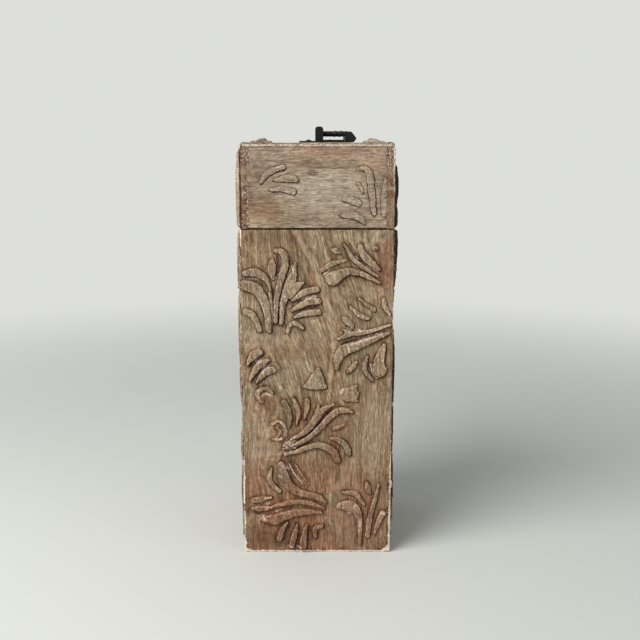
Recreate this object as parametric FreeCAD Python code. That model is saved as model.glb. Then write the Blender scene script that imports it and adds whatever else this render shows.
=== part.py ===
"""A tall carved wooden donation box with a hinged lid, a coin slot and an iron bail handle.

Millimetres. +Z is up, the carved front faces -Y, and the origin is the centre of the base.
"""
import FreeCAD
import Part
import math
import os
from collections import namedtuple

Vector = FreeCAD.Vector
UP = Vector(0, 0, 1)
ALONG_X = Vector(1, 0, 0)
ALONG_Y = Vector(0, 1, 0)

# Box
BOX_WIDTH = 120.0
BOX_DEPTH = 120.0
BODY_HEIGHT = 268.0
LID_HEIGHT = 65.6
SEAM_GAP = 0.4
WALL = 6.0
BASE_THICKNESS = 6.0
TOP_THICKNESS = 3.8
WORN_EDGE = 0.8

# Lid top
TOP_CORNER = 3.0
TOP_ROUNDING = 1.5
BEAD_GROOVE_DEPTH = 0.5
BEAD_GROOVE_HEIGHT = 0.5
SLOT_LENGTH = 64.0
SLOT_WIDTH = 6.0
SLOT_FROM_FRONT = 13.5

# Carving
FRONT_RISE = 2.6
SIDE_RISE = 3.8
LID_FRONT_RISE = 0.7
TOP_RISE = 4.0
LEAF_DRAFT = 0.35
CARVING_MARGIN = WORN_EDGE
STRAIGHT_ENOUGH = 0.02
# The width and height of each board that the carver's drawings were laid out for
FRONT_DRAWING = (120.0, 268.0)
SIDE_DRAWING = (120.0, 268.0)
LID_FRONT_DRAWING = (108.0, 61.8)
LID_SIDE_DRAWING = (120.0, 61.8)
TOP_DRAWING = (120.0, 120.0)

# Hinges
HINGE_SPREAD = 62.0
LEAF_WIDTH = 30.0
LEAF_HEIGHT = 20.0
LEAF_THICKNESS = 1.5
LEAF_CORNER = 2.0
HINGE_PIN_RADIUS = 1.5
KNUCKLE_RADIUS = 3.0
KNUCKLE_STANDOFF = 0.3
KNUCKLE_GAP = 0.3
RUNNING_CLEARANCE = 0.05
HINGE_SCREW_SPACING = 18.0
HINGE_SCREW_FROM_AXIS = 12.0

# Screws and pins
SCREW_HEAD_RADIUS = 2.4
SCREW_HEAD_HEIGHT = 1.1
SCREW_SHANK_RADIUS = 1.2
SCREW_BITE = 4.0
SCREW_HOLE_CLEARANCE = 0.1
PIN_HEAD_RADIUS = 1.5
PIN_HEAD_HEIGHT = 0.5
PIN_SHANK_RADIUS = 0.8
PIN_BITE = 9.0
BODY_PIN_COUNT = 4
BODY_PIN_END = 30.0
LID_PIN_COUNT = 3
LID_PIN_END = 16.0

# Handle
HANDLE_OFFSET = 1.6
POST_SPACING = 64.0
POST_WIDTH = 6.4
POST_THICKNESS = 5.0
POST_HEIGHT = 12.5
POST_ROUNDING = 2.2
PLATE_LENGTH = 31.8
PLATE_WIDTH = 14.0
PLATE_TIP_WIDTH = 5.0
PLATE_THICKNESS = 1.4
PLATE_SCREW_SPACING = 17.0
PLATE_SCREW_BITE = 3.0
TONGUE_REACH = 19.6
TONGUE_WIDTH = 6.6
TONGUE_HEIGHT = 2.3
PIVOT_HEIGHT = 7.1
STUB_RADIUS = 1.5
EYE_RADIUS = 3.0
ARM_RADIUS = 1.9
ARM_SIDE_GAP = 0.3
BEAD_RADIUS = 2.3
BEAD_LENGTH = 2.4
BEAD_PLACES = (12.8, 17.2)
REST_GAP = 0.3
# The grip's section, right of the pivot and up from the underside of the grip: its outer edge is bevelled
GRIP_SECTION = [(20.3, 0.0), (27.4, 0.0), (29.8, 3.1), (25.6, 8.3), (20.3, 8.6)]
GRIP_EASING = 0.7

SEAM_TOP = BODY_HEIGHT + SEAM_GAP
LID_WALL_TOP = SEAM_TOP + LID_HEIGHT - TOP_THICKNESS
TOP_FACE = SEAM_TOP + LID_HEIGHT
HALF_WIDTH = BOX_WIDTH / 2
HALF_DEPTH = BOX_DEPTH / 2
HINGE_Y = HALF_DEPTH + KNUCKLE_STANDOFF + KNUCKLE_RADIUS
HINGE_Z = BODY_HEIGHT + SEAM_GAP / 2

# A leaf is one carved stroke: three points of its spine, its width at each, and its share of the full rise.
Leaf = namedtuple("Leaf", "start middle end widths share")
# A chip is a carved fan-shaped leaf: its corners, and how far each side swells outwards after its corner.
Chip = namedtuple("Chip", "corners swells share")

# The drawing of the front: millimetres right of the centre line and up from the base.
FAN_SPRAY = [
    Leaf((-37, 221), (-43.4, 231), (-54.6, 233), (3, 6.5, 5), 0.9),
    Leaf((-39, 190), (-42.3, 212), (-53.6, 224.4), (3.5, 7, 7.6), 1.0),
    Leaf((-45, 189), (-48.5, 199.5), (-55, 206), (3.5, 4.6, 4.8), 0.8),
    Leaf((-35.6, 195), (-36, 208), (-37, 222), (2.2, 2.2, 2.6), 0.7),
    Leaf((-32.5, 195), (-31.5, 216), (-25.5, 238), (3, 4, 5), 1.0),
    Leaf((-25.5, 237), (-25.3, 247.5), (-32.5, 251.3), (5, 5, 4), 1.0),
    Leaf((-28.3, 195), (-26.5, 211), (-17, 241), (3, 5.5, 2), 0.9),
    Leaf((-23.5, 216), (-18, 222.5), (-11, 226.3), (4, 5.5, 1.5), 0.85),
    Leaf((-36.5, 245.5), (-35.5, 238), (-34.5, 230.5), (3, 5.5, 2), 0.7),
]
COMB = [
    Leaf((-19, 213.5), (-10, 219.5), (-1, 221.5), (2, 3.8, 3.4), 0.8),
    Leaf((-20, 209.5), (-10, 213.8), (0.5, 213.8), (2, 4.2, 4.6), 0.9),
    Leaf((-19, 202.5), (-10, 204.8), (-1, 204), (1.6, 3.6, 3.6), 0.7),
    Leaf((-23.5, 186.5), (-18, 193.5), (-11, 189.8), (3, 3.4, 3), 0.8),
]
TRUMPET_SPRAY = [
    Leaf((13, 229.5), (26, 235.2), (48.5, 225.8), (11, 6, 2), 1.0),
    Leaf((4, 236), (11.4, 241), (22, 243.5), (3, 3.8, 1.8), 0.6),
    Leaf((14, 250.5), (16.5, 249.6), (18.5, 250.4), (3, 4, 3), 0.5),
    Leaf((21.5, 256), (31, 243), (48, 231.2), (2.4, 3.4, 2), 0.9),
    Leaf((27.5, 254.5), (36.5, 244.5), (49, 234.5), (2, 3.2, 2), 0.8),
    Leaf((36, 254), (42, 246), (49.5, 237.8), (2, 4, 3), 0.9),
]
REEDS = [
    Leaf((33, 213.5), (40, 208), (44.5, 204.8), (1.6, 3, 3.4), 0.5),
    Leaf((26, 207), (33, 200.3), (41, 197.6), (2, 4, 2.4), 0.6),
    Leaf((21, 198), (27, 192), (36, 188.2), (2.4, 4, 3), 0.6),
    Leaf((52.5, 212), (54, 206), (57.5, 201), (3, 4, 1.8), 0.6),
]
SWEEP_SPRAY = [
    Leaf((57.5, 192.6), (40, 187.4), (19.5, 184.6), (2, 3.6, 4.6), 0.8),
    Leaf((57, 186.2), (36, 177.2), (20, 172), (2, 5.8, 8), 1.0),
    Leaf((22, 172.4), (16.8, 166), (15.6, 158.5), (7, 6, 3), 1.0),
    Leaf((32.6, 163.6), (28, 158.7), (22.5, 156.2), (2.4, 5, 3), 0.6),
    Leaf((39.8, 166.5), (37.9, 156), (44.2, 147.8), (2.4, 3.8, 2.4), 0.8),
    Leaf((42.8, 160), (44.3, 154), (48, 150), (1.8, 2.4, 2), 0.6),
    Leaf((53, 175), (50.4, 164), (51.3, 155.6), (3.6, 7.5, 9.4), 1.0),
]
CLAW = [
    Leaf((-57, 158.5), (-53.4, 166.8), (-46.5, 170.4), (2, 4.6, 3), 0.9),
    Leaf((-54.5, 150), (-49, 159.6), (-39.8, 164.4), (2, 3.8, 2), 0.8),
    Leaf((-49.5, 146.5), (-43.5, 154.4), (-36, 156.3), (1.6, 4.8, 4.6), 0.9),
    Leaf((-48, 131), (-46, 138.6), (-38.5, 138.6), (3.2, 3.4, 2.8), 0.7),
]
CHIPS = [
    Chip([(1.5, 159.5), (-11.5, 143), (8, 143)], (0.4, -2.2, -1.2), 0.7),
    Chip([(19, 137), (33, 145), (33.5, 132.5), (29.5, 129.8)], (0.8, -0.8, 0.2, 1.0), 0.6),
]
PLUME_SPRAY = [
    Leaf((-27, 129.4), (-23.8, 121), (-22.6, 111.5), (4.4, 4.4, 3), 0.9),
    Leaf((-18.8, 132.2), (-15.6, 123), (-16, 113), (3.4, 4, 2), 0.8),
    Leaf((-7.6, 131.5), (-7.6, 124), (-9.4, 117), (3.4, 3.8, 1.6), 0.7),
    Leaf((-20, 100.6), (-3.5, 110), (3.5, 122.5), (2, 4.4, 6), 1.0),
    Leaf((1, 119), (5.5, 124.6), (12, 128), (4.4, 4, 1.6), 0.9),
    Leaf((1, 118), (1, 123), (0.8, 127.6), (4, 3.4, 1.4), 0.9),
    Leaf((-19, 96.2), (2, 105), (15.5, 120), (2, 4, 5.6), 1.0),
    Leaf((14.5, 119.5), (20.5, 123.8), (28.5, 121.6), (5, 5, 2), 0.95),
    Leaf((-25.5, 87.8), (-10, 90.6), (3, 94.2), (2, 3.8, 6), 1.0),
    Leaf((2, 94.1), (12.6, 91.4), (16.8, 83), (6, 6.2, 4.6), 1.0),
    Leaf((12, 100.3), (21.6, 97.4), (26, 89.5), (1.6, 4.8, 4.2), 0.8),
    Leaf((13.3, 108.2), (17.3, 109.4), (21.6, 111.2), (2.4, 3.2, 1.6), 0.5),
    Leaf((-36.6, 111.6), (-30.2, 112.8), (-26.6, 106.6), (2.4, 3.4, 3.6), 0.6),
    Leaf((-26.7, 107.5), (-28.4, 102), (-34.6, 100.4), (3.6, 3.4, 2.2), 0.6),
    Leaf((-27, 93.2), (-23, 95), (-18.6, 97.4), (3, 3.6, 3), 0.8),
]
WAVE_SPRAY = [
    Leaf((-28.5, 75.5), (-27, 65), (-17.5, 56.4), (6, 7.8, 6), 1.0),
    Leaf((-18.5, 57), (-6.5, 51.6), (6, 46.8), (6, 4.4, 2), 1.0),
    Leaf((-20.8, 75.5), (-17.2, 69.6), (-11.8, 63.8), (3, 2.6, 1.6), 0.7),
    Leaf((-38.6, 72), (-39.8, 64), (-33.4, 56.6), (2.4, 3.8, 2.4), 0.8),
    Leaf((3.5, 40.8), (-14, 44.2), (-38, 41.4), (1.6, 3.4, 3), 0.9),
    Leaf((-52.6, 46), (-46, 46.8), (-38.5, 48.2), (3.8, 4.2, 2), 0.7),
    Leaf((-51.6, 39.2), (-46, 39), (-36, 41), (3.4, 4, 3), 0.8),
    Leaf((1.5, 35.6), (-18, 35.4), (-39, 28.8), (1.6, 6, 8), 1.0),
    Leaf((-38, 29), (-43.5, 30), (-48.5, 30), (7, 5, 2), 0.95),
    Leaf((-26, 24.8), (-30.6, 19), (-32.4, 12.8), (2, 4.2, 3.8), 0.8),
    Leaf((-17.4, 24.2), (-20, 16), (-22.8, 7.6), (2, 4.2, 4.6), 0.8),
    Leaf((-10, 23.8), (-12.4, 15), (-13.4, 6), (2, 4.2, 4.6), 0.8),
    Leaf((4.5, 23.4), (-2, 20.4), (-1.6, 14.4), (2, 4.4, 3), 0.7),
]
HOOK_SPRAY = [
    Leaf((18.6, 41.4), (26.5, 41.8), (33, 34), (6, 8.4, 6.4), 1.0),
    Leaf((32.6, 35), (35.2, 24), (35, 9.5), (6.4, 4, 3), 1.0),
    Leaf((21.5, 52.6), (31, 51.4), (37.8, 43), (2, 4, 3), 0.8),
    Leaf((40.6, 60), (41.5, 55.6), (43.4, 52), (3, 4.6, 2.4), 0.6),
    Leaf((51, 59), (46.4, 38), (42.2, 15), (1.6, 3.8, 3.8), 0.8),
    Leaf((54.2, 35), (51.4, 27), (48.2, 17), (3.4, 4.8, 2.4), 0.7),
]
# The drawing of the lid's front: up from the lid's lower edge.
LID_SPRAY = [
    Leaf((-43.5, 35.6), (-36.8, 43.2), (-26, 47), (2.6, 4.4, 4), 0.8),
    Leaf((-33, 37), (-24, 37.8), (-16, 37), (2, 5.2, 4.6), 1.0),
    Leaf((-34, 29.6), (-25, 29.8), (-17.6, 27.6), (2.4, 4, 3.8), 0.8),
    Leaf((33.4, 45.4), (37.6, 46), (40.6, 41), (2, 3.6, 5), 0.9),
    Leaf((40.4, 42), (42.6, 26), (44.4, 11.4), (5, 4.8, 3.8), 0.9),
    Leaf((53, 37), (51.6, 24), (52, 10), (3, 4.6, 3.8), 0.6),
    Leaf((22.4, 21.4), (28, 20.4), (32.4, 18.8), (2.4, 4, 3.6), 0.8),
    Leaf((18.6, 10), (28, 9.6), (36, 5), (1.6, 3.4, 2), 0.7),
]
# The drawing of one leaf spray on the lid's top: right of the box's centre line and back from its middle.
TOP_SPRAY = [
    Leaf((-47, -50), (-44.5, -30), (-47, -8), (3, 9, 4), 0.8),
    Leaf((-51.5, -44), (-51, -28), (-47, -12), (2.4, 4.4, 3), 0.6),
    Leaf((-40.5, -38), (-41, -26), (-46, -12), (2.4, 4, 3), 0.6),
    Leaf((-47, -8), (-44.5, 12), (-49, 34), (4, 8, 3), 1.0),
    Leaf((-47, -6), (-51, 8), (-52, 24), (3, 4.4, 2.4), 0.7),
    Leaf((-46, -4), (-40.5, 8), (-39.5, 22), (3, 4.4, 2.4), 0.7),
    Leaf((-45.5, 30), (-42.5, 38), (-46, 48), (3, 4.6, 2.4), 0.6),
]


# The drawings of the leaves that run down the front edge of each side. On the left side the front is at the right.
LEFT_EDGE = [
    Leaf((55, 265.6), (56.6, 238), (54.5, 213), (5, 7, 5), 0.9),
    Leaf((55, 216), (56.2, 188), (54.4, 162), (5, 7.4, 4), 0.9),
    Leaf((55.4, 160), (56.8, 138), (55.6, 116), (4, 5.6, 4), 0.62),
    Leaf((55.6, 116), (56.6, 104), (55.4, 92), (4, 5.4, 4), 0.68),
    Leaf((54.6, 94), (56.4, 66), (54.8, 36), (4, 7.2, 5), 1.0),
    Leaf((55.6, 38), (56.8, 22), (57, 7), (4, 4.8, 3), 0.5),
]
RIGHT_EDGE = [
    Leaf((-55.6, 265.6), (-56.4, 253), (-55, 240), (6, 7.2, 5), 0.9),
    Leaf((-55, 244), (-55.6, 234), (-54.4, 225), (5, 5.8, 4), 0.62),
    Leaf((-54.4, 229), (-54.8, 221), (-53, 213), (4, 4.6, 2.4), 0.34),
    Leaf((-52, 186), (-56, 160), (-55.4, 130), (3, 6.4, 4), 0.68),
    Leaf((-55.6, 132), (-56.6, 106), (-55.4, 78), (4, 5.6, 4), 0.66),
    Leaf((-55.4, 80), (-56.4, 60), (-55.4, 40), (4, 6.2, 4), 0.74),
    Leaf((-56, 42), (-57, 24), (-57, 7), (3.4, 4.6, 3), 0.45),
]
LID_LEFT_EDGE = [Leaf((55.4, 56), (56.4, 30), (55.6, 2.6), (5, 7, 5.6), 0.95)]
LID_RIGHT_EDGE = [
    Leaf((-56, 45), (-56.4, 33), (-56, 20.6), (5, 7, 5), 0.86),
    Leaf((-56.2, 14.4), (-56.6, 8), (-56, 2.6), (5, 6.4, 5), 0.86),
]


def moved(leaves, right=0.0, up=0.0, mirror=False):
    """The same carved leaves at another place, mirrored left to right if asked."""
    sign = -1 if mirror else 1

    def shift(point):
        return (sign * point[0] + right, point[1] + up)

    placed = []
    for leaf in leaves:
        if isinstance(leaf, Chip):
            order = list(reversed(leaf.corners)) if mirror else leaf.corners
            swells = leaf.swells
            if mirror:
                swells = tuple(reversed(swells[:-1])) + swells[-1:]
            placed.append(Chip([shift(p) for p in order], swells, leaf.share))
        else:
            placed.append(Leaf(shift(leaf.start), shift(leaf.middle), shift(leaf.end),
                               leaf.widths, leaf.share))
    return placed


FRONT_CARVING = (FAN_SPRAY + COMB + TRUMPET_SPRAY + REEDS + SWEEP_SPRAY + CLAW + CHIPS
                 + PLUME_SPRAY + WAVE_SPRAY + HOOK_SPRAY)
LEFT_CARVING = (moved(PLUME_SPRAY, right=14, up=128) + moved(CLAW, right=4, up=52)
                + moved(SWEEP_SPRAY, right=-16, up=-26) + moved(HOOK_SPRAY, right=-2, up=-4)
                + moved(FAN_SPRAY, right=12, up=-166) + moved(CLAW, right=6, up=2) + LEFT_EDGE)
RIGHT_CARVING = (moved(FAN_SPRAY, right=60, up=6) + moved(TRUMPET_SPRAY, right=2, up=8, mirror=True)
                 + moved(PLUME_SPRAY, right=2, up=32, mirror=True)
                 + moved(WAVE_SPRAY, right=6, up=24) + moved(HOOK_SPRAY, right=0, up=52)
                 + moved(CLAW, right=4, up=-122) + RIGHT_EDGE)
LID_LEFT_CARVING = moved(LID_SPRAY, right=-4, mirror=True) + LID_LEFT_EDGE
LID_RIGHT_CARVING = moved(LID_SPRAY, right=4, mirror=True) + LID_RIGHT_EDGE


def box(x_low, y_low, z_low, x_high, y_high, z_high):
    """A plain board between two corners."""
    return Part.makeBox(x_high - x_low, y_high - y_low, z_high - z_low,
                        Vector(x_low, y_low, z_low))


def rod(radius, length, start, direction):
    """A round rod from a point along a direction."""
    return Part.makeCylinder(radius, length, start, direction)


def curve(first, middle, last):
    """An arc through three points, or a straight edge where they are in line."""
    chord = last - first
    bow = (middle - first).cross(chord).Length / chord.Length
    if bow < STRAIGHT_ENOUGH:
        return Part.LineSegment(first, last).toShape()
    return Part.Arc(first, middle, last).toShape()


def leaf_wire(leaf, scale_x, scale_z, inset=0.0):
    """The outline of one carved leaf in the XZ plane: two long curves and two round ends."""
    points = [Vector(p[0] * scale_x, 0, p[1] * scale_z) for p in (leaf.start, leaf.middle, leaf.end)]
    start, middle, end = points
    chord = (end - start).normalize()
    first = (middle - start).normalize()
    last = (end - middle).normalize()
    tangents = [(first * 2 - chord).normalize(), chord, (last * 2 - chord).normalize()]
    halves = [width / 2 - inset for width in leaf.widths]
    upper, lower = [], []
    for point, tangent, half in zip(points, tangents, halves):
        across = ALONG_Y.cross(tangent) * half
        upper.append(point + across)
        lower.append(point - across)
    start_cap = start - tangents[0] * halves[0]
    end_cap = end + tangents[2] * halves[2]
    return Part.Wire([curve(*upper), curve(upper[2], end_cap, lower[2]),
                      curve(lower[2], lower[1], lower[0]), curve(lower[0], start_cap, upper[0])])


def chip_wire(chip, scale_x, scale_z, inset=0.0):
    """The outline of one carved chip in the XZ plane: corners joined by swelling curves."""
    corners = [Vector(x * scale_x, 0, z * scale_z) for x, z in chip.corners]
    centre = sum(corners, Vector(0, 0, 0)) / len(corners)
    corners = [corner + (centre - corner).normalize() * 2 * inset for corner in corners]
    edges = []
    for corner, following, swell in zip(corners, corners[1:] + corners[:1], chip.swells):
        across = ALONG_Y.cross(following - corner).normalize()
        middle = (corner + following) / 2 + across * swell
        edges.append(curve(corner, middle, following))
    return Part.Wire(edges)


def relief(leaves, rise, scale_x, scale_z, clip):
    """Carved leaves standing out of the XZ plane towards -Y, trimmed to the board's own outline."""
    solids = []
    for leaf in leaves:
        outline = chip_wire if isinstance(leaf, Chip) else leaf_wire
        foot = outline(leaf, scale_x, scale_z)
        crest = outline(leaf, scale_x, scale_z, LEAF_DRAFT)
        crest.translate(ALONG_Y * -(rise * leaf.share))
        solids.append(Part.makeLoft([foot, crest], True, True))
    carved = solids[0].multiFuse(solids[1:])
    return carved.common(clip)


def carving(leaves, rise, size, drawing, turn, place):
    """The leaves of one face of the box or lid; turn is about Z, and place is the face's foot."""
    width, height = size
    clip = box(-width / 2 + CARVING_MARGIN, -2 * rise, CARVING_MARGIN,
               width / 2 - CARVING_MARGIN, 0, height - CARVING_MARGIN)
    carved = relief(leaves, rise, width / drawing[0], height / drawing[1], clip)
    carved.rotate(Vector(0, 0, 0), UP, turn)
    carved.translate(place)
    return carved


def carve(board, leaves, y_low, y_high):
    """The board with those leaves that lie between two depths of the box."""
    reach = 2 * BOX_WIDTH
    share = leaves.common(box(-reach, y_low, 0, reach, y_high, TOP_FACE))
    if not share.Solids:
        return board
    return board.fuse(share).removeSplitter()


def ease_outer_edges(board, outward):
    """Rounds the long edges of a board's outer face, as handling has worn them."""
    outer = max(v.Point.dot(outward) for v in board.Vertexes)
    edges = []
    for edge in board.Edges:
        if all(abs(v.Point.dot(outward) - outer) < STRAIGHT_ENOUGH for v in edge.Vertexes):
            edges.append(edge)
    return board.makeFillet(WORN_EDGE, edges)


def dome_screw(foot, direction, grip, bite):
    """A round-headed screw: foot is under its head, and it goes grip through a plate and bite into wood."""
    head_ball = (SCREW_HEAD_RADIUS ** 2 + SCREW_HEAD_HEIGHT ** 2) / (2 * SCREW_HEAD_HEIGHT)
    rim = Vector(SCREW_HEAD_RADIUS, 0, 0)
    crown = Vector(0, 0, SCREW_HEAD_HEIGHT)
    angle = math.asin(SCREW_HEAD_RADIUS / head_ball) / 2
    shoulder = Vector(head_ball * math.sin(angle), 0,
                      SCREW_HEAD_HEIGHT - head_ball * (1 - math.cos(angle)))
    length = grip + bite
    profile = Part.Wire([
        Part.Arc(rim, shoulder, crown).toShape(),
        Part.LineSegment(crown, Vector(0, 0, -length)).toShape(),
        Part.LineSegment(Vector(0, 0, -length), Vector(SCREW_SHANK_RADIUS, 0, -length)).toShape(),
        Part.LineSegment(Vector(SCREW_SHANK_RADIUS, 0, -length), Vector(SCREW_SHANK_RADIUS, 0, 0)).toShape(),
        Part.LineSegment(Vector(SCREW_SHANK_RADIUS, 0, 0), rim).toShape(),
    ])
    screw = Part.Face(profile).revolve(Vector(0, 0, 0), UP, 360)
    screw.Placement = FreeCAD.Placement(foot, FreeCAD.Rotation(UP, direction))
    return screw


def panel_pin(foot, direction, board):
    """A flat-headed pin: foot is on the board's face, and direction points out of it."""
    head = rod(PIN_HEAD_RADIUS, PIN_HEAD_HEIGHT, foot, direction)
    shank = rod(PIN_SHANK_RADIUS, board + PIN_BITE, foot, direction * -1)
    return head.fuse(shank).removeSplitter()


def spaced(count, low, high):
    """Evenly spaced places from low to high."""
    step = (high - low) / (count - 1)
    return [low + step * i for i in range(count)]


def drilled(board, radius, feet, direction, depth):
    """The board with a round hole at each foot, going in against direction."""
    holes = [rod(radius, depth, foot, direction * -1) for foot in feet]
    return board.cut(holes)


# Fastener places
BODY_PIN_FEET = [Vector(side * (HALF_WIDTH - WALL / 2), HALF_DEPTH, z)
                 for side in (-1, 1)
                 for z in spaced(BODY_PIN_COUNT, BODY_PIN_END, BODY_HEIGHT - BODY_PIN_END)]
LID_PIN_FEET = [Vector(side * (HALF_WIDTH - WALL / 2), y, TOP_FACE)
                for side in (-1, 1)
                for y in spaced(LID_PIN_COUNT, LID_PIN_END - HALF_DEPTH, HALF_DEPTH - LID_PIN_END)]
HINGE_CENTRES = {"left": -HINGE_SPREAD / 2, "right": HINGE_SPREAD / 2}
POST_PLACES = {"front": -POST_SPACING / 2, "rear": POST_SPACING / 2}


def hinge_screw_feet(up):
    """Where the screws of both hinges meet the back of the wood, above the axis (1) or below it (-1)."""
    return [Vector(centre + side * HINGE_SCREW_SPACING / 2, HALF_DEPTH, HINGE_Z + up * HINGE_SCREW_FROM_AXIS)
            for centre in HINGE_CENTRES.values() for side in (-1, 1)]


def plate_screw_feet(y):
    """Where the screws of one handle bracket meet the lid's top."""
    return [Vector(HANDLE_OFFSET + side * PLATE_SCREW_SPACING / 2, y, TOP_FACE) for side in (-1, 1)]


def body_boards():
    """The five boards of the box: front and back overlap the sides, and the base lies between all four."""
    inner_x = HALF_WIDTH - WALL
    inner_y = HALF_DEPTH - WALL
    front = ease_outer_edges(box(-HALF_WIDTH, -HALF_DEPTH, 0, HALF_WIDTH, -inner_y, BODY_HEIGHT), ALONG_Y * -1)
    leaves = carving(FRONT_CARVING, FRONT_RISE, (BOX_WIDTH, BODY_HEIGHT), FRONT_DRAWING,
                     0, Vector(0, -HALF_DEPTH, 0))
    front = carve(front, leaves, -BOX_DEPTH, -HALF_DEPTH)
    back = ease_outer_edges(box(-HALF_WIDTH, inner_y, 0, HALF_WIDTH, HALF_DEPTH, BODY_HEIGHT), ALONG_Y)
    back = drilled(back, PIN_SHANK_RADIUS, BODY_PIN_FEET, ALONG_Y, WALL)
    back = drilled(back, SCREW_SHANK_RADIUS, hinge_screw_feet(-1), ALONG_Y, SCREW_BITE)
    boards = {}
    for name, side, drawn in (("left_board", -1, LEFT_CARVING), ("right_board", 1, RIGHT_CARVING)):
        outer = side * HALF_WIDTH
        inner = side * inner_x
        board = box(min(outer, inner), -inner_y, 0, max(outer, inner), inner_y, BODY_HEIGHT)
        feet = [foot for foot in BODY_PIN_FEET if foot.x * side > 0]
        board = drilled(board, PIN_SHANK_RADIUS, feet, ALONG_Y, WALL + PIN_BITE)
        leaves = carving(drawn, SIDE_RISE, (BOX_DEPTH, BODY_HEIGHT), SIDE_DRAWING, 90 * side, Vector(outer, 0, 0))
        boards[name] = carve(board, leaves, -inner_y, inner_y)
        front = carve(front, leaves, -HALF_DEPTH, -inner_y)
        back = carve(back, leaves, inner_y, HALF_DEPTH)
    boards["front_board"] = front
    boards["back_board"] = back
    boards["base_board"] = box(-inner_x, -inner_y, 0, inner_x, inner_y, BASE_THICKNESS)
    return boards


def lid_boards():
    """The four walls of the lid: the sides run the full depth, so their end grain shows at the front."""
    inner_x = HALF_WIDTH - WALL
    inner_y = HALF_DEPTH - WALL
    wall_height = LID_WALL_TOP - SEAM_TOP
    front = box(-inner_x, -HALF_DEPTH, SEAM_TOP, inner_x, -inner_y, LID_WALL_TOP)
    leaves = carving(LID_SPRAY, LID_FRONT_RISE, (BOX_WIDTH - 2 * WALL, wall_height), LID_FRONT_DRAWING,
                     0, Vector(0, -HALF_DEPTH, SEAM_TOP))
    front = carve(front, leaves, -BOX_DEPTH, -HALF_DEPTH)
    back = box(-inner_x, inner_y, SEAM_TOP, inner_x, HALF_DEPTH, LID_WALL_TOP)
    back = drilled(back, SCREW_SHANK_RADIUS, hinge_screw_feet(1), ALONG_Y, SCREW_BITE)
    boards = {"lid_front_board": front, "lid_back_board": back}
    for name, side, drawn in (("lid_left_board", -1, LID_LEFT_CARVING),
                              ("lid_right_board", 1, LID_RIGHT_CARVING)):
        outer = side * HALF_WIDTH
        inner = side * inner_x
        board = box(min(outer, inner), -HALF_DEPTH, SEAM_TOP, max(outer, inner), HALF_DEPTH, LID_WALL_TOP)
        board = ease_outer_edges(board, ALONG_X * side)
        feet = [foot for foot in LID_PIN_FEET if foot.x * side > 0]
        board = drilled(board, PIN_SHANK_RADIUS, feet, UP, TOP_THICKNESS + PIN_BITE)
        leaves = carving(drawn, SIDE_RISE, (BOX_DEPTH, wall_height), LID_SIDE_DRAWING,
                         90 * side, Vector(outer, 0, SEAM_TOP))
        boards[name] = carve(board, leaves, -HALF_DEPTH, HALF_DEPTH)
    return boards


def lid_top_board():
    """The lid's top: rounded corners, a bead groove round its edge and the coin slot."""
    top = box(-HALF_WIDTH, -HALF_DEPTH, LID_WALL_TOP, HALF_WIDTH, HALF_DEPTH, TOP_FACE)
    upright = [e for e in top.Edges if abs(e.Vertexes[0].Z - e.Vertexes[1].Z) > STRAIGHT_ENOUGH]
    top = top.makeFillet(TOP_CORNER, upright)
    rim = [e for e in top.Edges if all(abs(v.Z - TOP_FACE) < STRAIGHT_ENOUGH for v in e.Vertexes)]
    top = top.makeFillet(TOP_ROUNDING, rim)
    groove_low = LID_WALL_TOP + (TOP_THICKNESS - BEAD_GROOVE_HEIGHT) / 2
    groove_high = groove_low + BEAD_GROOVE_HEIGHT
    ring = box(-BOX_WIDTH, -BOX_DEPTH, groove_low, BOX_WIDTH, BOX_DEPTH, groove_high)
    core = box(-HALF_WIDTH + BEAD_GROOVE_DEPTH, -HALF_DEPTH + BEAD_GROOVE_DEPTH, groove_low,
               HALF_WIDTH - BEAD_GROOVE_DEPTH, HALF_DEPTH - BEAD_GROOVE_DEPTH, groove_high)
    upright = [e for e in core.Edges if abs(e.Vertexes[0].Z - e.Vertexes[1].Z) > STRAIGHT_ENOUGH]
    core = core.makeFillet(TOP_CORNER - BEAD_GROOVE_DEPTH, upright)
    top = top.cut(ring.cut(core))
    slot_y = SLOT_FROM_FRONT - HALF_DEPTH
    reach = (SLOT_LENGTH - SLOT_WIDTH) / 2
    slot = box(-reach, slot_y - SLOT_WIDTH / 2, LID_WALL_TOP, reach, slot_y + SLOT_WIDTH / 2, TOP_FACE)
    ends = [rod(SLOT_WIDTH / 2, TOP_THICKNESS, Vector(side * reach, slot_y, LID_WALL_TOP), UP) for side in (-1, 1)]
    top = top.cut(slot.multiFuse(ends).removeSplitter())
    top = drilled(top, PIN_SHANK_RADIUS, LID_PIN_FEET, UP, TOP_THICKNESS)
    for y in POST_PLACES.values():
        top = drilled(top, SCREW_SHANK_RADIUS, plate_screw_feet(y), UP, PLATE_SCREW_BITE)
    return top


def top_carvings():
    """The two leaf sprays applied to the lid's top, one along each side edge."""
    carvings = {}
    for name, mirror in (("top_carving_left", False), ("top_carving_right", True)):
        reach_x = HALF_WIDTH - TOP_CORNER
        reach_y = HALF_DEPTH - TOP_CORNER
        clip = box(-reach_x, -2 * TOP_RISE, -reach_y, reach_x, 0, reach_y)
        carved = relief(moved(TOP_SPRAY, mirror=mirror), TOP_RISE, BOX_WIDTH / TOP_DRAWING[0],
                        BOX_DEPTH / TOP_DRAWING[1], clip)
        carved.rotate(Vector(0, 0, 0), ALONG_X, -90)
        carved.translate(UP * TOP_FACE)
        carvings[name] = carved.removeSplitter()
    return carvings


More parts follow.
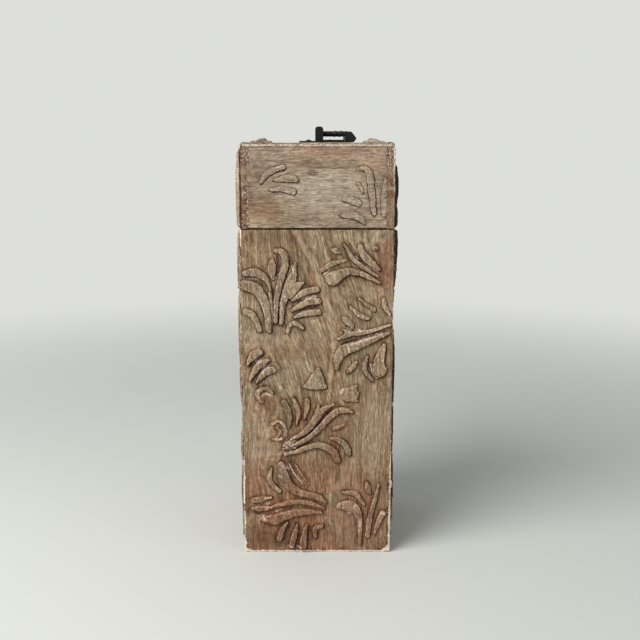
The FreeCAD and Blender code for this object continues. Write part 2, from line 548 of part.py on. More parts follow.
def hinge_leaf(centre, up, fingers):
    """One hinge leaf lying on the back of the box; fingers are its knuckles' spans along the barrel."""
    low = HINGE_Z - LEAF_HEIGHT if up < 0 else HINGE_Z
    plate = box(centre - LEAF_WIDTH / 2, HALF_DEPTH, low,
                centre + LEAF_WIDTH / 2, HALF_DEPTH + LEAF_THICKNESS, low + LEAF_HEIGHT)
    far_z = HINGE_Z + up * LEAF_HEIGHT
    corners = [e for e in plate.Edges
               if all(abs(v.Z - far_z) < STRAIGHT_ENOUGH for v in e.Vertexes)
               and abs(e.Vertexes[0].Y - e.Vertexes[1].Y) > STRAIGHT_ENOUGH]
    plate = plate.makeFillet(LEAF_CORNER, corners)
    relief_radius = KNUCKLE_RADIUS + KNUCKLE_GAP
    barrel_start = Vector(centre - LEAF_WIDTH, HINGE_Y, HINGE_Z)
    plate = plate.cut(rod(relief_radius, 2 * LEAF_WIDTH, barrel_start, ALONG_X))
    solid = plate
    for x_low, x_high in fingers:
        knuckle = rod(KNUCKLE_RADIUS, x_high - x_low, Vector(x_low, HINGE_Y, HINGE_Z), ALONG_X)
        reach = KNUCKLE_RADIUS + 2 * KNUCKLE_GAP
        tongue_low = HINGE_Z - reach if up < 0 else HINGE_Z
        tongue = box(x_low, HALF_DEPTH + KNUCKLE_STANDOFF, tongue_low,
                     x_high, HALF_DEPTH + LEAF_THICKNESS, tongue_low + reach)
        solid = solid.fuse([knuckle, tongue])
    bore = HINGE_PIN_RADIUS + (RUNNING_CLEARANCE if up > 0 else 0)
    solid = solid.cut(rod(bore, 2 * LEAF_WIDTH, barrel_start, ALONG_X))
    feet = [foot for foot in hinge_screw_feet(up) if abs(foot.x - centre) < LEAF_WIDTH / 2]
    holes = [rod(SCREW_SHANK_RADIUS + SCREW_HOLE_CLEARANCE, LEAF_THICKNESS, foot, ALONG_Y) for foot in feet]
    return solid.cut(holes).removeSplitter()


def hinges():
    """Two butt hinges: the box's leaf has the outer knuckles and holds the pin, the lid's has the middle one."""
    pieces = {}
    for side, centre in HINGE_CENTRES.items():
        left = centre - LEAF_WIDTH / 2
        third = (LEAF_WIDTH - 2 * KNUCKLE_GAP) / 3
        outer = [(left, left + third), (left + 2 * (third + KNUCKLE_GAP), left + LEAF_WIDTH)]
        middle = [(left + third + KNUCKLE_GAP, left + 2 * third + KNUCKLE_GAP)]
        pieces[f"hinge_{side}_box_leaf"] = hinge_leaf(centre, -1, outer)
        pieces[f"hinge_{side}_lid_leaf"] = hinge_leaf(centre, 1, middle)
        pieces[f"hinge_{side}_pin"] = rod(HINGE_PIN_RADIUS, LEAF_WIDTH, Vector(left, HINGE_Y, HINGE_Z), ALONG_X)
    return pieces


def fasteners():
    """Each set of identical screws or pins is one group of separate solids."""
    outward = Vector(0, LEAF_THICKNESS, 0)
    on_plate = Vector(0, 0, PLATE_THICKNESS)
    plate_feet = [foot for y in POST_PLACES.values() for foot in plate_screw_feet(y)]
    sets = {
        "hinge_box_screws": [dome_screw(foot + outward, ALONG_Y, LEAF_THICKNESS, SCREW_BITE)
                             for foot in hinge_screw_feet(-1)],
        "hinge_lid_screws": [dome_screw(foot + outward, ALONG_Y, LEAF_THICKNESS, SCREW_BITE)
                             for foot in hinge_screw_feet(1)],
        "handle_screws": [dome_screw(foot + on_plate, UP, PLATE_THICKNESS, PLATE_SCREW_BITE)
                          for foot in plate_feet],
        "back_board_pins": [panel_pin(foot, ALONG_Y, WALL) for foot in BODY_PIN_FEET],
        "lid_top_pins": [panel_pin(foot, UP, TOP_THICKNESS) for foot in LID_PIN_FEET],
    }
    return {name: Part.makeCompound(solids) for name, solids in sets.items()}


def handle_bracket(y):
    """A spindle-shaped plate with a post bored for the bail's stub, and a low tongue beside the folded bail."""
    reach = (PLATE_LENGTH - PLATE_TIP_WIDTH) / 2
    outline = Leaf((-reach, 0), (0, 0), (reach, 0), (PLATE_TIP_WIDTH, PLATE_WIDTH, PLATE_TIP_WIDTH), 1.0)
    plate = Part.Face(leaf_wire(outline, 1.0, 1.0)).extrude(ALONG_Y * -PLATE_THICKNESS)
    plate.rotate(Vector(0, 0, 0), ALONG_X, -90)
    post = box(-POST_WIDTH / 2, -POST_THICKNESS / 2, 0, POST_WIDTH / 2, POST_THICKNESS / 2, POST_HEIGHT)
    shoulders = [e for e in post.Edges
                 if all(abs(v.Z - POST_HEIGHT) < STRAIGHT_ENOUGH for v in e.Vertexes)
                 and abs(e.Vertexes[0].Y - e.Vertexes[1].Y) > STRAIGHT_ENOUGH]
    post = post.makeFillet(POST_ROUNDING, shoulders)
    half = TONGUE_WIDTH / 2
    tongue = box(0, -half, 0, TONGUE_REACH - half, half, TONGUE_HEIGHT)
    tip = rod(half, TONGUE_HEIGHT, Vector(TONGUE_REACH - half, 0, 0), UP)
    bracket = plate.multiFuse([post, tongue, tip]).removeSplitter()
    bore = rod(STUB_RADIUS + RUNNING_CLEARANCE, 2 * PLATE_WIDTH, Vector(0, -PLATE_WIDTH, PIVOT_HEIGHT), ALONG_Y)
    bracket = bracket.cut(bore)
    for side in (-1, 1):
        foot = Vector(side * PLATE_SCREW_SPACING / 2, 0, 0)
        hole = rod(SCREW_SHANK_RADIUS + SCREW_HOLE_CLEARANCE, PLATE_THICKNESS, foot, UP)
        seat = rod(SCREW_HEAD_RADIUS + SCREW_HOLE_CLEARANCE, TONGUE_HEIGHT, foot + UP * PLATE_THICKNESS, UP)
        bracket = bracket.cut([hole, seat])
    bracket.translate(Vector(HANDLE_OFFSET, y, TOP_FACE))
    return bracket


def turned_arm(y):
    """One arm of the bail along +X from its pivot to the grip: a plain rod with two turned beads."""
    arm = rod(ARM_RADIUS, GRIP_SECTION[0][0] + ARM_RADIUS, Vector(0, y, 0), ALONG_X)
    beads = []
    for place in BEAD_PLACES:
        flank = Vector(place - BEAD_LENGTH / 2, y, 0)
        half = BEAD_LENGTH / 2
        beads.append(Part.makeCone(ARM_RADIUS, BEAD_RADIUS, half, flank, ALONG_X))
        beads.append(Part.makeCone(BEAD_RADIUS, ARM_RADIUS, half, flank + ALONG_X * half, ALONG_X))
    return arm.multiFuse(beads)


def bail():
    """The swinging bail: stubs, eyes and beaded arms with a bevelled grip that hangs below them."""
    arm_y = POST_SPACING / 2 - POST_THICKNESS / 2 - ARM_SIDE_GAP - ARM_RADIUS
    grip_half = arm_y + ARM_RADIUS
    underside = REST_GAP - PIVOT_HEIGHT
    corners = [Vector(x, -grip_half, underside + z) for x, z in GRIP_SECTION]
    grip = Part.Face(Part.makePolygon(corners + corners[:1])).extrude(ALONG_Y * 2 * grip_half)
    long_edges = [e for e in grip.Edges if abs(e.Vertexes[0].Y - e.Vertexes[1].Y) > grip_half]
    grip = grip.makeFillet(GRIP_EASING, long_edges)
    shapes = []
    for side in (-1, 1):
        y = side * arm_y
        shapes.append(turned_arm(y))
        shapes.append(rod(EYE_RADIUS, 2 * ARM_RADIUS, Vector(0, y - ARM_RADIUS, 0), ALONG_Y))
        stub_length = ARM_RADIUS + ARM_SIDE_GAP + POST_THICKNESS
        shapes.append(rod(STUB_RADIUS, stub_length, Vector(0, y, 0), ALONG_Y * side))
    handle = grip.multiFuse(shapes).removeSplitter()
    handle.translate(Vector(HANDLE_OFFSET, 0, TOP_FACE + PIVOT_HEIGHT))
    return handle


def main():
    os.makedirs("parts", exist_ok=True)
    pieces = {}
    pieces.update(body_boards())
    pieces.update(lid_boards())
    pieces["lid_top_board"] = lid_top_board()
    pieces.update(top_carvings())
    pieces.update(hinges())
    pieces.update(fasteners())
    for place, y in POST_PLACES.items():
        pieces[f"handle_bracket_{place}"] = handle_bracket(y)
    pieces["handle_bail"] = bail()
    for name, shape in pieces.items():
        shape.exportStep(f"parts/{name}.step")
        print(name, "solids", len(shape.Solids), "valid", shape.isValid(), "volume", round(shape.Volume, 1))


main()
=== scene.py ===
# %% [markdown]
# # A carved donation box
# This lesson dresses a tall wooden donation box: five boards make the box, five more its hinged lid, and
# a black iron bail handle lies folded on top. The construction model gives every size and every joint.
# Blender adds what the eye sees: leaves cut by hand, worn edges, combed grain, limewash and forged iron.

# %% Start from the construction model
import math

import bmesh
import bpy
import numpy as np
from mathutils import Matrix, Vector, noise


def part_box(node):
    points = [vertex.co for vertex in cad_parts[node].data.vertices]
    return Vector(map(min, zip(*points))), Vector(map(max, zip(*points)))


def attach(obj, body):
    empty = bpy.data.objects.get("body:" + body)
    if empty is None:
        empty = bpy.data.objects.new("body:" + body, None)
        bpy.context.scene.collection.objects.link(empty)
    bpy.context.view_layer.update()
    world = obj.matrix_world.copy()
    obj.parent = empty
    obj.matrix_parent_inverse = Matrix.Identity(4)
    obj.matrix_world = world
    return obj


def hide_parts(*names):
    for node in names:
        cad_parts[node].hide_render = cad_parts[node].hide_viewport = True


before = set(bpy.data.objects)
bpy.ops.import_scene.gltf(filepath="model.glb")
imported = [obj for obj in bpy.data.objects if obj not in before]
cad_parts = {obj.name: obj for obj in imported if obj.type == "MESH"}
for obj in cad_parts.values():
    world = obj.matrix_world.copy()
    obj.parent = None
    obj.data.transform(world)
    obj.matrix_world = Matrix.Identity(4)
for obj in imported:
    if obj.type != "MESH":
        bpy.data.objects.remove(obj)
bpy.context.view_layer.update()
MM = 0.001

# %% [markdown]
# The carving is easiest to think about in millimetres, as a carver would, so each board is made flat in
# front of us, in millimetres, and is then scaled, turned and set in its place. The outside of the box is
# the outline of the lid's top board, the inside is the outline of the base board, and the seam lies
# between box and lid.

# %% Sizes of the box, read from the model
top_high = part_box("lid_top_board")[1]
base_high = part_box("base_board")[1]
lid_low, lid_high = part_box("lid_back_board")
HALF_WIDTH = top_high.x / MM
HALF_DEPTH = top_high.y / MM
INNER_WIDTH = base_high.x / MM
INNER_DEPTH = base_high.y / MM
WALL = HALF_WIDTH - INNER_WIDTH
BODY_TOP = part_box("back_board")[1].z / MM
LID_FOOT = lid_low.z / MM
LID_WALL_TOP = lid_high.z / MM
TOP_FACE = top_high.z / MM
print(f"box {2 * HALF_WIDTH:.0f} x {2 * HALF_DEPTH:.0f} x {TOP_FACE:.0f} mm, walls {WALL:.1f} mm")

# %% [markdown]
# ## The drawing of the carving
# A leaf is one or more strokes, as a gouge would outline them. A stroke is a line of points with a width
# at each point, in millimetres right of the board's centre line and up from its foot. The first number of
# a leaf is its share of the board's full relief, so that leaves that cross lie one above the other. The
# front has too many leaves to read at once, so its sprays are drawn from the head down, in three steps.

# %% Leaves near the head of the front
def leaf(share, *strokes):
    """One carved leaf: its share of the relief and its strokes of (x, z, width) points."""
    return share, strokes


FAN_SPRAY = [
    leaf(0.90, [(-36.7, 220.3, 1.6), (-39, 227.1, 3.6), (-43.2, 231.8, 5.8), (-49.4, 234.3, 6.6),
                (-56.9, 233.5, 3.9)]),
    leaf(1.00, [(-38.2, 187.9, 4.2), (-39, 199.6, 5.1), (-41.3, 210, 7), (-46.5, 219.9, 8.3),
                (-52.7, 223.2, 8.6), (-57, 224.3, 7.5)]),
    leaf(0.80, [(-45.3, 188.3, 3.7), (-47.9, 195.1, 4.4), (-51.2, 200.7, 5.3), (-55.9, 203.1, 5)]),
    leaf(0.70, [(-35.6, 194, 2.2), (-36, 207, 2.3), (-37, 220, 2.4)]),
    leaf(1.00, [(-33, 195, 3), (-31.8, 214, 4), (-27, 233, 5), (-24.7, 243, 5.4), (-26.8, 250, 5.2),
                (-32, 251.3, 4)]),
    leaf(0.92, [(-28.5, 194, 3), (-26.8, 209, 4.4), (-22.4, 222, 8), (-18.8, 232, 5.6), (-16.9, 241.5, 1.4)],
         [(-21.4, 216, 5), (-17.4, 222.4, 7.2), (-10.8, 226.2, 1.6)]),
    leaf(0.70, [(-34.8, 243.5, 3), (-35.6, 237, 6.6), (-34.6, 229.5, 2.2)]),
    leaf(0.55, [(-19.3, 240, 1.4), (-23.7, 228.3, 1.9), (-26.9, 218, 1.9), (-29.7, 207.6, 1.4)]),
]
COMB = [
    leaf(0.80, [(-19, 212.8, 2.6), (-10, 218.6, 5.2), (-0.4, 220.8, 4.6)]),
    leaf(0.90, [(-19.9, 204.1, 2.2), (-13.6, 207.9, 4.2), (-6.5, 211.1, 5.5), (0.9, 211.6, 5)]),
    leaf(0.70, [(-18.3, 198.3, 2), (-12, 201, 3.9), (-4.9, 202.5, 5), (1.4, 202.6, 4.2)]),
    leaf(0.80, [(-23.4, 186.6, 2.8), (-22, 191.5, 3.2), (-17.6, 193.8, 3.5), (-11.4, 190, 3)]),
]
TRUMPET_SPRAY = [
    leaf(1.00, [(12, 229.4, 11), (18.5, 232.8, 7.6), (25.5, 235.2, 5.4), (36.5, 232.6, 4.2), (49, 226, 1.8)]),
    leaf(0.35, [(4, 236, 3), (11.4, 241, 3.9), (22, 243.6, 1.8)]),
    leaf(0.50, [(12.4, 251.6, 3), (15, 251, 4.6), (17, 250, 3)]),
    leaf(0.90, [(21.4, 256, 2.2), (29.5, 243.5, 3.5), (47.4, 231.2, 2)]),
    leaf(0.90, [(33.6, 254.5, 4.2), (36, 248.4, 5.6), (41.7, 242.5, 5.8), (48.3, 236.6, 2.8)]),
    leaf(0.50, [(44.6, 253, 3.2), (45.6, 253.2, 3.2)]),
]
REEDS = [
    leaf(0.45, [(33, 213.5, 1.4), (40, 208, 2.9), (44.6, 204.6, 3.4)]),
    leaf(0.55, [(26, 207, 1.8), (33, 200.4, 3.9), (41, 197.5, 2.4)]),
    leaf(0.55, [(20.8, 197.6, 3.1), (23.9, 195.1, 5), (27.8, 191.5, 3.6)]),
    leaf(0.60, [(52.4, 213, 2.4), (53.4, 207, 4), (57.4, 200.6, 1.6)]),
]
print("leaves near the head:", len(FAN_SPRAY + COMB + TRUMPET_SPRAY + REEDS))

# %% [markdown]
# Round the middle of the front, long leaves sweep in from the right, claws grow from the left edge, and
# two chips of leaf stand alone. A chip is a short leaf with corners, so it takes several strokes.

# %% Leaves round the middle of the front
SWEEP_SPRAY = [
    leaf(0.80, [(58, 192.6, 1.8), (40, 187, 3.5), (23, 184.8, 4)],
         [(26, 186, 4), (20, 189, 1.4)], [(25, 184.6, 4.2), (16.4, 181, 1.6)]),
    leaf(1.00, [(57.4, 186.2, 1.8), (36, 177.4, 6), (22, 172.4, 9), (16.8, 166, 7), (15.6, 157.6, 2.6)]),
    leaf(0.60, [(31.2, 161.8, 2.7), (28.1, 157.8, 4.1), (24.6, 154.1, 2.8)]),
    leaf(0.80, [(39.8, 166.6, 2.2), (37.6, 157, 4), (44.2, 147, 2.2)]),
    leaf(0.60, [(42.8, 160.4, 1.8), (44.4, 154, 2.5), (48, 149.4, 2)]),
    leaf(0.95, [(53.4, 176, 3.4), (49.4, 164.4, 8), (50, 155.6, 10.6)]),
]
CLAW = [
    leaf(0.90, [(-55.6, 160.2, 1.9), (-53.3, 164.7, 4.7), (-50, 168.3, 6.6), (-46, 170.3, 5),
                (-44, 170.1, 2.3)]),
    leaf(0.80, [(-54, 147.1, 1.6), (-51, 152.9, 3.6), (-47.3, 158.7, 5.8), (-42.5, 162.1, 4.7),
                (-38.1, 164.1, 1.6)]),
    leaf(0.90, [(-48.6, 145.5, 1.4), (-44.7, 150.3, 4.2), (-40.5, 154.4, 5.8), (-36.3, 156, 5.5),
                (-34.5, 155.7, 3.9)]),
    leaf(0.55, [(-44.8, 129.6, 3.4), (-47.8, 133.9, 3.6), (-47.1, 138, 3.6), (-43.2, 140.3, 3.4),
                (-38.4, 139.2, 3.4), (-36, 136.7, 2.3)]),
]
CHIPS = [
    leaf(0.75, [(0.9, 156.8, 2.2), (-10.1, 142.3, 1.9)],
         [(1.2, 156.8, 2.2), (4.3, 147.5, 3.1), (6.7, 141.8, 2.2)],
         [(-10.1, 142, 1.9), (-1, 140.7, 2.3), (6.7, 141.5, 2)],
         [(0.4, 153.2, 4.7), (-1.3, 147.5, 10.9)],
         [(-6.9, 143.8, 3.6), (-2.6, 144.2, 6.2), (3.8, 144, 4.7)]),
    leaf(0.60, [(19.4, 136.4, 2.3), (22.3, 137, 6.2), (26.3, 135.9, 10.9), (29.2, 135.4, 8.6)],
         [(27.1, 138.9, 6.2), (31.7, 143, 1.9)],
         [(30.6, 141.3, 2.7), (30, 135.9, 3.9), (31.1, 131.2, 2.7)],
         [(26.3, 132.9, 6.2), (31.5, 130.2, 2.3)],
         [(23.6, 132.5, 4.7), (23.9, 130.1, 2.3)]),
]
print("leaves round the middle:", len(SWEEP_SPRAY + CLAW + CHIPS))

# %% [markdown]
# The lower half has the boldest sprays: plumes that open upwards, a wave that runs to the lower left and
# a hook at the lower right. The stem comes down from the head of the front. It is so low that it reads as
# a pale band.

# %% Leaves of the lower half, and the stem
PLUME_SPRAY = [
    leaf(0.90, [(-27.1, 129.6, 4.6), (-24.4, 124.2, 5), (-22.3, 116.7, 4.3), (-23.2, 108.3, 2.1)]),
    leaf(0.80, [(-19, 131.2, 3.2), (-16.5, 125.9, 4.3), (-15.2, 118.7, 3.6), (-16.7, 110.8, 1.4)]),
    leaf(0.70, [(-8.2, 130.6, 3.8), (-8.2, 124.2, 4), (-10.4, 115.4, 1.6)]),
    leaf(1.00, [(-21.3, 98.1, 1.6), (-14, 101.9, 3.4), (-7, 107.4, 4.6), (-2.2, 114.2, 5.6), (1.4, 119.2, 6)],
         [(0, 119, 4.6), (1.2, 127.4, 1.4)], [(0.6, 118.8, 4.8), (6, 124, 4.2), (13.4, 127.6, 1.2)]),
    leaf(1.00, [(-21.3, 92.4, 1.8), (-11.6, 96.8, 3.2), (-4.3, 101.7, 4.2), (3, 108.9, 4.8),
                (10.3, 117, 5.2), (17, 122.2, 5), (23.1, 122.4, 4), (28.5, 121, 1.4)]),
    leaf(1.00, [(-25.8, 85.4, 2.2), (-15.7, 88.3, 3.4), (-7.5, 91.7, 4.1), (-0.2, 93.1, 4.7),
                (7.1, 91.7, 5.4), (13.1, 87.5, 6), (16.4, 80.8, 4.7)]),
    leaf(0.80, [(10.3, 99.2, 1.3), (16.3, 97.8, 4), (21.3, 94.4, 4.9), (24.6, 89.7, 4.7), (25.6, 85.9, 3.2)]),
    leaf(0.40, [(13, 106.6, 2.4), (16.8, 107.9, 3.5), (21.6, 110.3, 1.9)]),
    leaf(0.36, [(-36.6, 110.8, 1.9), (-30.9, 113, 2.3), (-26.1, 108.3, 2.7), (-26.1, 101.5, 2.7),
                (-30.2, 97.3, 2.3), (-35.9, 98.1, 1.6)],
         [(-32.6, 107.4, 1.9), (-29.8, 104.1, 2.2), (-32.2, 99.8, 1.7)]),
    leaf(0.80, [(-27, 93, 2.6), (-23, 95, 3.8), (-19, 97.5, 2.6)]),
    leaf(0.70, [(-28, 90, 1.8), (-24, 91.4, 3.2), (-18, 91.6, 2.2)]),
]
WAVE_SPRAY = [
    leaf(1.00, [(-29.6, 76.9, 5.4), (-27.7, 68.3, 7.4), (-23.7, 59.7, 7.4), (-15.8, 53.6, 6.3),
                (-6.8, 50.5, 5.1), (1.4, 48.4, 4.6), (6.3, 44.3, 2.4)]),
    leaf(0.55, [(-22.6, 77, 1.8), (-18.6, 68.5, 1.8), (-12, 59.6, 1.2)]),
    leaf(0.45, [(-17.6, 76, 1.6), (-12.9, 68.3, 1.7), (-6.8, 59.7, 1.1)]),
    leaf(0.80, [(-37.3, 72.9, 1.9), (-39.1, 66.1, 4), (-36.6, 59.3, 4), (-31.1, 54, 3.4)]),
    leaf(0.90, [(5.2, 39.2, 1.6), (-4.4, 42.9, 3.6), (-15.9, 44.6, 4), (-27.4, 43, 3.6), (-37.6, 39.6, 2.6)]),
    leaf(0.70, [(-52.6, 46, 3.8), (-46, 46.8, 4.4), (-38, 48.2, 1.8)]),
    leaf(0.80, [(-52.6, 38.6, 3), (-47, 38.6, 4), (-40, 39.4, 3)]),
    leaf(1.00, [(3, 35.5, 1.6), (-10.1, 36, 5), (-23.3, 33.9, 6.2), (-33.6, 29.6, 8.2),
                (-40.7, 29.4, 6.2), (-47.3, 30.1, 1.9)]),
    leaf(0.80, [(-24.6, 26.6, 1.6), (-28.8, 19.9, 4.2), (-31.6, 11.6, 4.3)]),
    leaf(0.80, [(-16.5, 24.5, 1.6), (-18.4, 16.9, 4.1), (-21.1, 6.6, 5)]),
    leaf(0.80, [(-8.9, 24, 1.8), (-10.9, 15.2, 4.3), (-12, 5.4, 6)]),
    leaf(0.70, [(5, 23.6, 1.8), (-1.6, 21, 4.2), (-1.5, 13.6, 2.8)]),
]
HOOK_SPRAY = [
    leaf(1.00, [(17.8, 41, 4.2), (24.4, 41.5, 8.7), (30.7, 39.2, 7.9), (34, 31.9, 6), (35.2, 22.2, 3.8),
                (35.2, 8.6, 2.8)]),
    leaf(0.80, [(20.6, 52.6, 1.8), (31, 51.6, 4), (38, 42.4, 2.8)]),
    leaf(0.60, [(40.4, 60.6, 2.6), (41.5, 55.6, 4.8), (43.6, 51.4, 2.2)]),
    leaf(0.75, [(50.4, 59, 1.6), (46.1, 42.3, 3.6), (42.6, 27.5, 4), (41.6, 15.2, 4.2)]),
    leaf(0.70, [(53.6, 34.6, 5), (50.6, 27, 4.4), (46.9, 16.9, 1.8)]),
]
STEM = [leaf(0.12, [(-19.5, 270, 3.4), (-8.7, 251.5, 5), (-2.4, 241, 5.4), (5, 218, 5.8), (12, 189, 5.4),
                    (14, 172, 4.8), (11.5, 156, 4), (9.6, 140, 3.4), (9.2, 126, 2.6)])]
print("leaves of the lower half:", len(PLUME_SPRAY + WAVE_SPRAY + HOOK_SPRAY))

# %% [markdown]
# Where two leaves run side by side, the carver took the ground between them deeper, and it is painted dark
# there as shade. Crests that hands reach were rubbed back to pale wood. Both are drawn as strokes too,
# without a share of the relief.

# %% Deep cuts and rubbed crests of the front
# Deep cuts: the ground is cut deeper there and painted dark as shade.
DEEP_CUTS = [
    [(-55.8, 230.2, 1.2), (-50.3, 228.6, 2), (-44.8, 226.2, 2.3), (-40.2, 221.5, 1.9)],
    [(-30.6, 245.6, 2.7), (-29.8, 239.3, 3.1), (-31.9, 231.4, 2.3)],
    [(-47.3, 214.8, 1.2), (-43.5, 207.6, 2), (-41.2, 198.8, 1.9), (-39.7, 190.7, 1.2)],
    [(25.5, 255.8, 2), (29.2, 249.5, 3.1), (34.2, 243.6, 3.4), (38.1, 239.3, 2.7), (43.7, 235.1, 1.4)],
    [(3.8, 233, 1.7), (7.7, 235.7, 2.2), (10.8, 235.9, 1.2)],
    [(20.5, 176.9, 2.7), (27.6, 179.1, 3.6), (35.5, 181.8, 3.4), (43.4, 184.6, 2.8), (50.5, 187.2, 1.6)],
    [(22.8, 191.2, 1.6), (28.3, 188.8, 2.2), (33.9, 186.7, 1.6)],
    [(-57.2, 155.7, 1.7), (-53.2, 160.3, 3.6), (-48.8, 164.2, 3.9), (-44, 168, 3.1)],
    [(-51.7, 148.8, 2.3), (-48.2, 152.9, 3.9), (-44.1, 157, 3.4), (-39.3, 160.9, 1.9)],
    [(-48, 143.3, 1.7), (-43.9, 147.1, 2.7), (-38.9, 150.3, 2.5)],
    [(-19.7, 95.3, 2.3), (-11.6, 99.8, 3.1), (-4.3, 106.1, 3.6), (2.2, 113.7, 3.6), (7.8, 120, 2.8),
     (11.9, 124.2, 1.6)],
    [(-18.9, 89.2, 1.9), (-11.6, 92.7, 2.3), (-4.3, 97, 1.6)],
    [(-20, 209.4, 1.4), (-14, 211.6, 2.4), (-9.6, 213.4, 1.6)],
    [(-15, 203.4, 1.4), (-8, 206.3, 2.6), (0, 207, 2.2)],
    [(-53.7, 44.1, 1.9), (-47.9, 43.2, 2.7), (-41.4, 42.9, 1.9)],
    [(-50.5, 35, 2.3), (-46.4, 34, 3.9), (-41.9, 35.5, 2)],
    [(-37.3, 37.1, 1.6), (-29.1, 38.5, 1.9), (-20.8, 39.7, 1.4)],
    [(-22.9, 24, 1.6), (-25.1, 17.8, 3.9), (-27, 11.3, 3.1)],
    [(-15.2, 22.2, 2), (-15.2, 14.3, 3.1), (-16.5, 6.3, 2)],
    [(-7.9, 21.3, 1.6), (-8.1, 15.2, 2.3), (-7.6, 9, 1.6)],
]
RUBBED_STROKES = [
    [(-53.4, 229.1, 1.2), (-46.7, 228.9, 1.6)], [(-31.5, 232.2, 1.9), (-33.5, 229.2, 1.6)],
    [(-43.2, 210, 1.1), (-41.8, 203.6, 1.2)], [(-25, 217.2, 1.1), (-24.6, 212.4, 1.2)],
    [(-11.2, 213.3, 1.7), (-6.5, 214.5, 2.5), (-1.4, 215.1, 1.6)], [(5.3, 233.3, 1.2), (9.2, 236, 1.7)],
    [(26.8, 249.8, 1.1), (31.4, 245.1, 1.4)], [(38.1, 239, 1.1), (46.8, 235.1, 1.1)],
    [(42.6, 186.8, 1.1), (56.5, 191.8, 1.7)],
    [(26.8, 176.6, 1.2), (35.5, 179.9, 1.7), (43.4, 183.6, 2.3), (50.5, 185.7, 1.6)],
    [(24.8, 190.2, 1.4), (34.7, 187.2, 1.7)], [(53.1, 172.9, 1.2), (52.4, 163.1, 1.1)],
    [(56.9, 210, 1.2), (57.3, 199.6, 1.4)], [(-58, 155.4, 1.6), (-56.1, 158.2, 1.6)],
    [(-49.1, 162.7, 2), (-44.8, 163.2, 2)], [(-43.7, 153.6, 1.6), (-42.8, 157, 2.7), (-39, 159, 1.6)],
    [(-45.1, 145, 1.1), (-41.3, 148, 1.2), (-37.3, 150.4, 1.6)],
    [(-46.3, 133, 0.9), (-41.1, 136.4, 1.4), (-36.7, 134.7, 1.1)],
    [(20.6, 140, 1.2), (18.7, 136.4, 1.6), (21, 132.5, 1.2)], [(-25.7, 91.5, 1.4), (-16.9, 96.5, 1.9)],
    [(-22.5, 89, 1.4), (-16.1, 91.9, 1.4)], [(-27.4, 88.3, 1.1), (-25.5, 84.2, 1.1)],
    [(-35.8, 110.3, 1.1), (-30.9, 113, 1.2), (-26.1, 108.3, 1.1)], [(-34.6, 98, 1.2), (-29.1, 98, 1.2)],
    [(-54, 45, 1.2), (-40.2, 42.7, 1.6)], [(-45.6, 32.7, 1.6), (-42, 28.9, 1.9)],
    [(-34.4, 36.4, 1.4), (-30.2, 37.6, 1.6)], [(-28.3, 76.5, 1.6), (-23.6, 72.9, 1.4)],
    [(-21.9, 74.8, 1.1), (-17.4, 67.4, 1.1), (-11.4, 59.9, 0.9)], [(-23.2, 5.6, 1.6), (-19.5, 4.7, 1.7)],
    [(-16.7, 6, 1.4), (-13.7, 4, 1.7)], [(25.8, 35.4, 1.6), (28.2, 35.4, 1.6)],
    [(31.1, 43.2, 1.1), (30.2, 39.4, 1.6)], [(35.7, 29.2, 1.2), (34.9, 18.7, 1.2)],
    [(52.8, 34.8, 1.7), (57.9, 35, 1.4)], [(16.3, 40.3, 1.1), (18.1, 43.4, 0.9)],
]
FRONT_CARVING = (STEM + FAN_SPRAY + COMB + TRUMPET_SPRAY + REEDS + SWEEP_SPRAY + CLAW + CHIPS + PLUME_SPRAY
                 + WAVE_SPRAY + HOOK_SPRAY)
print("leaves on the front:", len(FRONT_CARVING))
print("deep cuts:", len(DEEP_CUTS), "rubbed places:", len(RUBBED_STROKES))

# %% [markdown]
# The carver used the same sprays on the sides, moved and mirrored, and added long leaves down the front
# edge of each side, which swell the outline of the box. Seen from the left, the front edge is at the
# right. The lid has its own few leaves, drawn up from the lid's lower edge, and the lid's top carries one
# long spray along each side.

# %% Leaves on the sides, the lid and its top
def moved(leaves, right=0.0, up=0.0, mirror=False):
    """The same leaves at another place, mirrored left to right if asked."""
    sign = -1 if mirror else 1
    return [(share, [[(sign * x + right, z + up, width) for x, z, width in stroke] for stroke in strokes])
            for share, strokes in leaves]


LEFT_EDGE = [
    leaf(0.74, [(55, 265.6, 5), (56.6, 238, 7), (54.5, 213, 5)]),
    leaf(0.74, [(55, 218, 5), (56.2, 188, 7.4), (54.6, 160, 5)]),
    leaf(0.64, [(55.4, 166, 5), (56.8, 148, 6.2), (55.6, 124, 3)]),
    leaf(0.30, [(55.6, 128, 3), (56.6, 115, 4.6), (55.4, 102, 3)]),
    leaf(0.62, [(55, 106, 4), (56.4, 92, 6.4), (55, 76, 4)]),
    leaf(0.62, [(55, 76, 4), (56.6, 56, 6.8), (56, 34, 4)]),
    leaf(0.15, [(56, 34, 3), (56.8, 22, 4), (57, 10, 3)]),
]
RIGHT_EDGE = [
    leaf(0.82, [(-55.6, 265.6, 6), (-56.4, 253, 7.2), (-55, 238, 5)]),
    leaf(0.60, [(-55, 246, 5), (-55.6, 234, 6.4), (-54.4, 223, 4)]),
    leaf(0.36, [(-54.4, 230, 4), (-54.8, 220, 5.4), (-53, 209, 2.4)]),
    leaf(0.56, [(-54, 187, 3), (-56, 162, 6.6), (-55.4, 128, 5)]),
    leaf(0.46, [(-55.6, 134, 5), (-56.6, 106, 6), (-55.4, 82, 4)]),
    leaf(0.58, [(-55.4, 84, 4), (-56.4, 60, 6.4), (-55.4, 38, 4)]),
    leaf(0.38, [(-56, 44, 4), (-57, 30, 5), (-57, 14, 3)]),
]
LEFT_CARVING = (moved(PLUME_SPRAY, right=14, up=128) + moved(CLAW, right=4, up=52)
                + moved(SWEEP_SPRAY, right=-16, up=-26) + moved(HOOK_SPRAY, right=-2, up=-4)
                + moved(FAN_SPRAY, right=12, up=-166) + moved(CLAW, right=6, up=2) + LEFT_EDGE)
